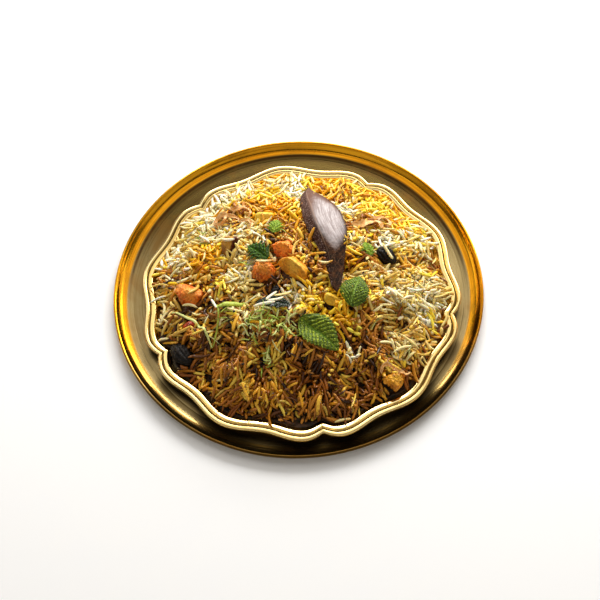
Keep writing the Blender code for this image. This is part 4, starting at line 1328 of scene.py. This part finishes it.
def makeVeinGroup():
    # veins where the phase is whole, swollen cushions between them, a midrib and a fine net; painted light on
    # the cushions and painted shade in the veins and the net
    group, given, out = newGroup(
        "leafVeins",
        {"Phase": "float", "Across": "float", "Place": "vector", "Bright": "colour", "Deep": "colour",
         "Rib": "colour", "Gloss": "float"},
        {"Colour": "colour", "Roughness": "float", "Height": "float"})
    side = calc(group, "ABSOLUTE", given["Across"])
    fromVein = calc(group, "PINGPONG", given["Phase"], 0.5)
    cushion = spread(group, fromVein, 0.0, 0.4)
    shade = noise(group, given["Place"], 150, 4, 0.6, 0.4)
    crackle = addNode(group, "ShaderNodeTexVoronoi", {"Vector": given["Place"], "Scale": 560})
    net = spread(group, crackle.outputs["Distance"], 0.7, 0.15)
    # painted light on the cushions' tops, painted shade in the veins and the net
    lit = times(group, spread(group, cushion, 0, 1, 0.35, 1.0), spread(group, net, 0, 1, 0.35, 1.0))
    lit = times(group, lit, spread(group, shade, 0.3, 0.62, 0.4, 1.0))
    tone = blend(group, lit, given["Deep"], given["Bright"])
    middle = spread(group, side, 0.09, 0.02)
    tone = blend(group, times(group, middle, 0.8), tone, given["Rib"])
    rough = plus(group, given["Gloss"], times(group, shade, 0.25))
    height = plus(group, times(group, cushion, 0.4), times(group, net, 1.0))
    return finishGroup(group, out, {"Colour": tone, "Roughness": rough, "Height": height})


veinGroup = makeVeinGroup()


def leafFinish(name, bright, deep, rib, gloss=0.44, shine=0.3):
    finish, tree, shader = newFinish(name, {
        "Subsurface Weight": 0.08, "Subsurface Radius": (0.5, 1.0, 0.2), "Subsurface Scale": 0.001,
        "Specular IOR Level": shine})
    got = useGroup(tree, veinGroup, {
        "Phase": pointValue(tree, "veinPhase"), "Across": pointValue(tree, "leafAcross"),
        "Place": objectPlace(tree), "Bright": bright, "Deep": deep, "Rib": rib, "Gloss": gloss})
    connect(tree, shader, got["Colour"], got["Roughness"], got["Height"], 0.0008, 0.8)
    return finish


mintFinish = leafFinish("mintGreen", rgb(174, 192, 46), rgb(34, 68, 2), rgb(116, 154, 52), 0.4)
darkMint = leafFinish("mintDark", rgb(96, 142, 30), rgb(18, 50, 4), rgb(98, 138, 52))
deepMint = leafFinish("mintDeep", rgb(152, 178, 42), rgb(30, 62, 2), rgb(134, 168, 62), 0.4)
herbFinish = leafFinish("herbGreen", rgb(178, 204, 60), rgb(98, 134, 26), rgb(196, 212, 110))
wetLeaf = leafFinish("leafCooked", rgb(40, 76, 54), rgb(5, 11, 7), rgb(72, 104, 80), 0.12, 0.8)

# line from stem to tip, width, veins and teeth on a side, how swollen, folded, arched and drooping it is
leaves = {
    "mint_leaf_1": {"line": ((-1, -46.5), (30, -73.5)), "width": 29, "finish": mintFinish, "slot": "mint",
                    "veins": 10, "swell": 2.0, "fold": 2.6, "arch": 2.2, "droop": 1.6,
                    "plump": 0.8, "teeth": 0.16},
    "mint_leaf_2": {"line": ((42, -38.5), (52, -7.5)), "width": 25, "finish": deepMint, "slot": "mint",
                    "veins": 11, "swell": 1.7, "fold": 1.8, "arch": 1.8, "droop": 1.8,
                    "plump": 0.85, "teeth": 0.14},
    "mint_leaf_3": {"line": ((-27, 17.5), (-44, 31.5)), "width": 17, "finish": darkMint, "slot": "mint",
                    "veins": 5, "swell": 1.8, "fold": 3.0, "arch": 1.2, "droop": 1.0,
                    "plump": 0.85, "teeth": 0.9},
    "herb_top_1": {"line": ((-21, 44), (-17, 60)), "width": 12, "finish": herbFinish, "slot": "young_herb",
                   "veins": 4, "swell": 1.4, "fold": 2.4, "arch": 1.0, "droop": 0.8,
                   "plump": 0.8, "teeth": 0.6},
    "herb_top_2": {"line": ((64, 16.5), (59, 31.5)), "width": 9.5, "finish": herbFinish, "slot": "young_herb",
                   "veins": 4, "swell": 1.2, "fold": 2.0, "arch": 1.0, "droop": 0.6,
                   "plump": 0.8, "teeth": 0.5},
    "cooked_leaf": {"line": ((-9, -32.5), (-39, -28.5)), "width": 15, "finish": wetLeaf, "slot": "cooked_leaf",
                    "veins": 6, "swell": 1.8, "fold": 3.0, "arch": 1.5, "droop": 1.0,
                    "plump": 0.9, "teeth": 0.16},
}
# shared by all leaves: thickness, the ground's blur under them, how they press into it, how side veins lean,
# the midrib's depth and width, and grid rows and columns
leafLay = {"depth": 0.45, "follow": 6.0, "press": 99.4, "lean": 0.85, "ribDeep": 0.5, "ribWide": 0.07,
           "rows": 80, "cols": 49}


def makeLeaf(name, leaf):
    # half width is a bent sine of the share of the way along, with a tooth at every side vein. The vein
    # phase counts veins along the leaf, less a lean that grows outwards. Its height is a bulge between
    # veins, crossed by smaller ones, a fold up from the midrib, an arch along it and a droop at the edge.
    low, high = boxOf(name)
    base, tip = (np.array(end, float) for end in leaf["line"])
    shift = ((low + high)[:2] - base - tip) / 4
    base, tip = base + shift, tip + shift
    length = np.linalg.norm(tip - base)
    ahead = (tip - base) / length
    u = np.linspace(0, 1, leafLay["rows"])[:, None]
    v = np.linspace(-1, 1, leafLay["cols"])[None, :]
    shape = np.sin(np.pi * u ** leaf["plump"]) ** 0.75
    half = leaf["width"] / 2 * shape
    phase = (u * length - leafLay["lean"] * half * np.abs(v)) / length * leaf["veins"]
    reach = half * (1 + leaf["teeth"] * (phase % 1 - 0.5) * np.abs(v) ** 5)
    bulge = np.abs(np.sin(np.pi * phase)) ** 0.6 * np.clip(np.abs(v) * 5, 0, 1)
    bulge = bulge * np.clip((1 - np.abs(v)) * 4, 0.3, 1)
    cross = np.abs(np.sin(np.pi * (3.2 * np.abs(v) + 0.37 * np.floor(phase) + 0.2 * np.sign(v)))) ** 0.6
    bulge = bulge * (0.45 + 0.55 * cross)
    up = (leaf["swell"] * bulge * shape + leaf["fold"] * np.abs(v) * shape + leaf["arch"] * np.sin(np.pi * u)
          - leaf["droop"] * 1.6 * np.abs(v) ** 3 * shape
          - leafLay["ribDeep"] * np.exp(-(v / leafLay["ribWide"]) ** 2) * shape)
    x = base[0] + u * length * ahead[0] - v * reach * ahead[1]
    y = base[1] + u * length * ahead[1] + v * reach * ahead[0]
    sheet = layOn(x, y, up, leafLay["follow"], leafLay["press"])
    points, quads = thicken(sheet, leafLay["depth"])
    piece = makePiece(pieceName(name, "Fresh"), points, quads, [], leaf["finish"], {
        "veinPhase": np.tile(phase.ravel(), 2), "leafAcross": np.tile((v + 0 * u).ravel(), 2)})
    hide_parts(name)
    markSurface(ground, sheet)


for name, leaf in leaves.items():
    makeLeaf(name, leaf)

bay = {
    # the leaf's outline: y, and x of its left and right edges
    "outline": [(-23.5, 31.2, 31.8), (-21, 29.5, 33.5), (-16, 26.8, 35.6), (-8, 25.4, 37.4), (4, 23.4, 39.2),
                (14, 21.0, 40.8), (24, 17.4, 42.2), (39, 11.6, 44.2), (50, 8.2, 44.0), (59, 6.2, 42.4),
                (68, 5.2, 40.2), (76, 4.7, 37.0), (84, 4.3, 31.4), (91, 5.2, 25.8), (96, 7.0, 20.4),
                (100.5, 9.6, 16.0), (105, 12.4, 13.2)],
    # steps between the outline's points and columns across; the midrib's share of the way across
    "steps": 12, "cols": 61, "rib": 0.27, "depth": 0.6, "ridge": 3.6, "leftDrop": 2.2, "arch": 4.0,
    "follow": 14.0, "press": 99,
    # the painted sheen's middle along and across, and its reach along and across
    "sheen": (0.62, 0.62, 0.30, 0.46), "sideVeins": 11, "veinLean": 2.4,
}


def makeBayFinish():
    # brown fibres; painted light on the half towards the tip, a painted sheen in a soft patch right of the
    # midrib, a pitted strip left of it darkened as painted shade, and a painted highlight along the midrib
    finish, tree, shader = newFinish("bayLeaf", {"Specular IOR Level": 0.03})
    along, across = pointValue(tree, "leafAlong"), pointValue(tree, "leafAcross")
    own = pointValue(tree, "ownPlace", "Vector")
    fibres = noise(tree, vectorCalc(tree, "MULTIPLY", own, (700, 60, 0)), 1.0, 4, 0.65, 0.3)
    mottle = noise(tree, own, 130, 5, 0.62, 0.8)
    pits = noise(tree, own, 520, 4, 0.7, 1.2)
    speckle = noise(tree, own, 900, 3, 0.7, 0.6)
    leftStrip = spread(tree, across, bay["rib"] - 0.03, bay["rib"] - 0.08)
    sheenAlong, sheenAcross, reachAlong, reachAcross = bay["sheen"]
    offAlong = times(tree, plus(tree, along, times(tree, mottle, 0.16)), 1 / reachAlong)
    offAlong = plus(tree, offAlong, -(sheenAlong + 0.08) / reachAlong)
    offAcross = plus(tree, times(tree, across, 1 / reachAcross), -sheenAcross / reachAcross)
    reach = plus(tree, times(tree, offAlong, offAlong), times(tree, offAcross, offAcross))
    sheen = times(tree, spread(tree, reach, 1.0, 0.1), spread(tree, leftStrip, 0, 1, 1.0, 0.3))
    sheenTone = blend(tree, spread(tree, fibres, 0.35, 0.7), rgb(152, 141, 141), rgb(203, 195, 197))
    shadedPits = times(tree, leftStrip, spread(tree, pits, 0.46, 0.6, 0.35, 0.9))
    dusted = times(tree, leftStrip, spread(tree, speckle, 0.54, 0.62, 0.0, 0.55))
    fromRib = calc(tree, "ABSOLUTE", plus(tree, across, -bay["rib"]))
    ribLit = times(tree, spread(tree, fromRib, 0.03, 0.006), spread(tree, along, 0.3, 0.6, 0.1, 0.5))
    phase = plus(tree, times(tree, along, bay["sideVeins"]), times(tree, across, -bay["veinLean"]))
    veins = spread(tree, calc(tree, "PINGPONG", phase, 0.5), 0.09, 0.0)
    veins = times(tree, veins, spread(tree, fibres, 0.35, 0.6, 0.3, 1.0))
    tone = blend(tree, spread(tree, mottle, 0.38, 0.66), rgb(20, 10, 5), rgb(64, 36, 18))
    # each layer: how much of it lies over those before it, and its tone
    layers = [
        # painted light: the half towards the tip is lighter
        (spread(tree, along, 0.5, 0.8), rgb(112, 84, 74)),
        (times(tree, spread(tree, fibres, 0.5, 0.75), 0.3), rgb(98, 68, 46)),
        (spread(tree, speckle, 0.54, 0.66, 0.0, 0.65), rgb(118, 84, 58)),
        # painted sheen
        (sheen, sheenTone),
        # painted shade on the strip left of the midrib
        (shadedPits, rgb(46, 24, 20)),
        (dusted, rgb(158, 136, 130)),
        # painted highlight along the midrib
        (ribLit, rgb(160, 134, 118)),
        (times(tree, spread(tree, across, 0.93, 0.99), 0.7), rgb(52, 32, 24)),
        (times(tree, veins, 0.2), rgb(140, 108, 88)),
    ]
    for share, layerTone in layers:
        tone = blend(tree, share, tone, layerTone)
    height = plus(tree, times(tree, fibres, 0.4), times(tree, pits, spread(tree, leftStrip, 0, 1, 0.3, 2.2)))
    height = plus(tree, height, times(tree, veins, 0.4))
    connect(tree, shader, tone, spread(tree, mottle, 0.3, 0.7, 0.4, 0.56), height, 0.0005, 0.5)
    return finish


def makeBayLeaf():
    # straight rows between the two edges. The height falls from the midrib to either edge as one less a
    # power of the share of the way out, arches along the leaf, and ripples at the edges.
    line = smoothLine(bay["outline"], bay["steps"])
    y, left, right = line[:, :1], line[:, 1:2], line[:, 2:]
    s = np.linspace(0, 1, bay["cols"])[None, :]
    u = (y - y.min()) / (y.max() - y.min())
    onLeft = s < bay["rib"]
    fromRib = np.where(onLeft, (bay["rib"] - s) / bay["rib"], (s - bay["rib"]) / (1 - bay["rib"]))
    shape = (right - left) / (right - left).max()
    fall = np.where(onLeft, bay["ridge"] + bay["leftDrop"], bay["ridge"])
    up = bay["arch"] * np.sin(np.pi * u ** 1.2) - fall * shape * fromRib ** np.where(onLeft, 1.1, 1.5)
    up = up + 0.7 * np.sin(u * 38 + s * 6) * np.clip(fromRib - 0.6, 0, 1) * shape
    up = up + np.where(onLeft, 1.1 * np.sin(u * 95 + 4 * np.sin(s * 16)) * fromRib * (1 - fromRib), 0)
    x = left + (right - left) * s
    sheet = layOn(x, y + 0 * s, up, bay["follow"], bay["press"])
    points, quads = thicken(sheet, bay["depth"])
    own = np.stack([x - left, y + 0 * s, up], -1) * mm
    piece = makePiece("bayLeafCooked", points, quads, [], makeBayFinish(), {
        "leafAlong": np.tile((u + 0 * s).ravel(), 2), "leafAcross": np.tile((s + 0 * u).ravel(), 2),
        "ownPlace": np.tile(own.reshape(-1, 3), (2, 1))})
    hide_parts("bay_leaf")
    markSurface(ground, sheet)


makeBayLeaf()
report("leaves made")


def makeOnionFinish():
    # peach streaks along the strip, charred at its edges and in patches
    finish, tree, shader = newFinish("onionFried", {"Coat Weight": 0.1})
    edge = calc(tree, "ABSOLUTE", pointValue(tree, "ribbonAcross"))
    own = vectorCalc(tree, "MULTIPLY", pointValue(tree, "ribbonPlace", "Vector"), (1, 8, 1))
    streaks = noise(tree, own, 120, 4, 0.6, 0.4)
    burnt = noise(tree, objectPlace(tree), 160, 4, 0.6, 0.5)
    tone = blend(tree, spread(tree, streaks, 0.35, 0.68), rgb(230, 154, 68), rgb(255, 220, 156))
    charred = plus(tree, spread(tree, edge, 0.7, 0.98, 0.0, 0.5), spread(tree, burnt, 0.56, 0.7, 0.0, 0.5))
    tone = blend(tree, spread(tree, charred, 0.0, 1.0), tone, rgb(116, 50, 8))
    connect(tree, shader, tone, spread(tree, streaks, 0.3, 0.7, 0.22, 0.42), streaks, 0.0004, 0.7)
    return finish


onionFinish = makeOnionFinish()

# the first three stand for CAD nodes; the others are further curls. Arc's middle, radius, first and last
# angle, width, how far the strip rises in the middle, and how deep its section curls
ribbons = {
    "onion_1": {"middle": (64, 36.5), "radius": 20, "span": (135, 50), "width": 7, "rise": 2.2, "curl": 1.4},
    "onion_2": {"middle": (-62, 64.5), "radius": 11, "span": (200, 20), "width": 4.0,
                "rise": 3.4, "curl": 0.9},
    "onion_3": {"middle": (-53, 89.5), "radius": 7.5, "span": (-10, -170), "width": 3.8,
                "rise": 2.8, "curl": 0.9},
    "curlA": {"middle": (-71, 73.5), "radius": 7.5, "span": (60, -150), "width": 2.8,
              "rise": 2.2, "curl": 0.8},
    "curlB": {"middle": (-50, 73.5), "radius": 8, "span": (150, -30), "width": 2.8,
              "rise": 2.2, "curl": 0.8},
    "curlD": {"middle": (-48, 59.5), "radius": 7, "span": (120, -60), "width": 3.6,
              "rise": 1.2, "curl": 1.0},
    "curlE": {"middle": (77, 57.5), "radius": 8, "span": (150, -10), "width": 4.0, "rise": 1.2, "curl": 1.0},
    "curlG": {"middle": (72, -92), "radius": 8, "span": (20, 170), "width": 3.6, "rise": 1.2, "curl": 0.8},
    "curlH": {"middle": (84, -84), "radius": 7, "span": (200, 330), "width": 3.2, "rise": 1.2, "curl": 0.8},
}
# shared by all strips: steps along, sides of the section, the arc's depth as a share of its width, the
# ground's blur under them, how they press into it and are lifted from it, and their half thickness
ribbonLay = {"steps": 54, "sides": 20, "squash": 0.85, "follow": 3.0, "press": 88, "lift": 0.6, "thick": 0.55}


def makeRibbon(name, ribbon):
    # a curled strip: a crescent section carried along an arc that sways, rises in the middle and rolls
    sides, width, radius = ribbonLay["sides"], ribbon["width"], ribbon["radius"]
    t = np.linspace(0, 1, ribbonLay["steps"])
    first, last = ribbon["span"]
    turn = np.radians(first + (last - first) * t)
    sway = radius * (1 + 0.09 * np.sin(t * 9 + radius))
    x = ribbon["middle"][0] + sway * np.cos(turn)
    y = ribbon["middle"][1] + sway * ribbonLay["squash"] * np.sin(turn)
    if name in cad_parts:
        low, high = boxOf(name)
        x = x + (low[0] + high[0] - x.max() - x.min()) / 2
        y = y + (low[1] + high[1] - y.max() - y.min()) / 2
    path = layOn(x, y, ribbon["rise"] * np.sin(np.pi * t) + 0.7 * np.sin(t * 17), ribbonLay["follow"],
                 ribbonLay["press"], ribbonLay["lift"])
    a = np.arange(sides) / sides * 2 * np.pi
    taper = (np.sin(np.pi * np.clip(t, 0.03, 0.97)) ** 0.3)[:, None]
    wide = width / 2 * taper * (1 + 0.15 * np.sin(t * 21 + radius))[:, None]
    roll = (0.7 * np.sin(t * 5 + radius))[:, None]
    flat = np.cos(a)[None] * wide
    tall = np.sin(a)[None] * ribbonLay["thick"] + ribbon["curl"] * (np.cos(a)[None] ** 2 - 0.4) * taper
    rolledFlat = flat * np.cos(roll) - tall * np.sin(roll)
    rolledTall = flat * np.sin(roll) + tall * np.cos(roll)
    rings = sweep(path, np.stack([rolledFlat, rolledTall], -1))
    across = np.cos(a)[None] + 0 * t[:, None]
    ownAlong = 0 * across + t[:, None] * radius * 3 * mm
    own = np.stack([ownAlong, across * width / 2 * mm, 0 * across + radius * 0.01], -1)
    poles = [path[0] * 1.02 - path[1] * 0.02, path[-1] * 1.02 - path[-2] * 0.02]
    piece = makeTube(pieceName(name, "Fried"), rings, poles, onionFinish, {
        "ribbonAcross": np.concatenate([across.ravel(), [0, 0]]),
        "ribbonPlace": np.vstack([own.reshape(-1, 3), np.zeros((2, 3))])})
    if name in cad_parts:
        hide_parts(name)
    markSurface(ground, closed(rings))


for name, ribbon in ribbons.items():
    makeRibbon(name, ribbon)
report("onions made")

# longer strands that lie over the heap: their line, width and finish
strands = {
    "leekStrand": {"line": [(-113, -21), (-104, -25), (-95, -31), (-89, -38), (-83, -48), (-78, -59)],
                   "width": 2.7, "finish": leekShred},
    "leekSliver": {"line": [(-71, -29), (-64, -27), (-56, -25.5), (-47, -25)], "width": 4.6,
                   "finish": greenShred},
    "leekThread": {"line": [(-49, -25), (-43, -23), (-37, -19)], "width": 1.8, "finish": paleShred},
    "rootThread": {"line": [(-75, -18), (-72, -26), (-71, -36), (-74, -48), (-77, -58)], "width": 1.5,
                   "finish": greenShred},
}
# shared by all strands: steps between points, sides, the ground's blur under them, how they press into it,
# and as shares of their width their lift, and of their half width their height
strandLay = {"steps": 10, "sides": 10, "follow": 2.2, "press": 86, "lift": 0.3, "flat": 0.6}


def makeStrand(name, strand):
    # a thin oval tube along a line over the heap, narrowing to both ends
    sides = strandLay["sides"]
    line = smoothLine(strand["line"], strandLay["steps"])
    path = layOn(line[:, 0], line[:, 1], 0 * line[:, 0], strandLay["follow"], strandLay["press"],
                 strand["width"] * strandLay["lift"])
    t = np.linspace(0, 1, len(path))[:, None]
    a = np.arange(sides)[None] / sides * 2 * np.pi
    thick = strand["width"] / 2 * (0.25 + 0.75 * np.sin(np.pi * np.clip(t, 0.04, 0.96)) ** 0.5)
    rings = sweep(path, np.stack([thick * np.cos(a), strandLay["flat"] * thick * np.sin(a)], -1))
    makeTube(name, rings, [path[0], path[-1]], strand["finish"], {
        "tone": np.full(rings.shape[0] * sides + 2, 0.7),
        "along": np.append(np.repeat(t[:, 0] * 1.6 - 0.8, sides), [0, 0])})


for name, strand in strands.items():
    makeStrand(name, strand)
report("small garnish made")

# grains that lie over leaves, pods and the rim: x, y and direction in degrees
topGrains = {
    "riceWhite": [
        (79, 19.5, -60), (83, 29.5, 35), (-54, 120.5, 85), (-53, 110.5, 80), (-127, -0.5, 5),
        (-31, -35.5, -8), (-15, -23.5, 30), (-21, -30.5, 20), (-25, -26.5, 50), (9, 125.5, 80),
        (17, 121.5, 100), (-75, -22.5, -70), (100, -14, 10), (108, -24, -30), (92, -26, 35), (-70, 46, 20),
        (-84, 52, -40), (-62, 38, -20)],
    "riceCream": [
        (23, 6.5, -12), (17, 17.5, -16), (-126, 11.5, -10), (30, -126.5, 10), (-92, -4, 60), (-30, 8, 20),
        (-3, 26, 70), (126, -35.5, 60), (104, -70.5, 25), (91, -62.5, -30), (-97, -16.5, -5),
        (71, -64.5, 5), (12, 38, 60), (100, -56, -15), (84, -70, 15), (70, 6, -20), (80, -4, 20)],
    "riceGolden": [
        (-31, -123.5, 95), (10, -118, 80), (-4, -110, 100), (40, -112, 70), (-50, -104, 110)],
}
# their size and bend, how deep they sink in, and how far they may stand over the heap and over its garnish
topLay = {"length": 15.5, "width": 2.6, "bend": 0.07, "sink": 0.2, "above": 2.5, "overGarnish": 6}
garnishTop = soften(ground, scattering["smooth"]) + topLay["overGarnish"]
heapTop = np.maximum(surface, garnishTop) + topLay["above"]
for name, grains in topGrains.items():
    places = np.array(grains, float)
    items = bulk(len(places), topLay["length"], topLay["width"], bend=topLay["bend"])
    items["turn"][:] = np.radians(places[:, 2])
    scatter(name + "OnTop", items, places, grainKinds[name], heapTop, topLay["sink"], rice["power"])
report("top grains made")


def makeFloor():
    # a pale sheet just under the tray, the same distance out each way in m
    half = 3.0
    finish, tree, shader = newFinish("paleFloor", {"Roughness": 0.9})
    grain = noise(tree, objectPlace(tree), 30, 3)
    setInputs(tree, shader, {"Base Color": blend(tree, grain, rgb(246, 249, 255), rgb(249, 251, 255))})
    mesh = bpy.data.meshes.new("floor")
    corners = [(-half, -half, 0), (half, -half, 0), (half, half, 0), (-half, half, 0)]
    mesh.from_pydata(corners, [], [(0, 1, 2, 3)])
    mesh.materials.append(finish)
    floor = bpy.data.objects.new("floor", mesh)
    floor.location.z = -0.2 * mm
    bpy.context.scene.collection.objects.link(floor)
    floor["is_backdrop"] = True


makeFloor()
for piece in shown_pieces():
    print(f"{piece.name}: {sum(len(face.vertices) - 2 for face in piece.data.polygons)} triangles")
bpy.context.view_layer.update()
report("scene finished")
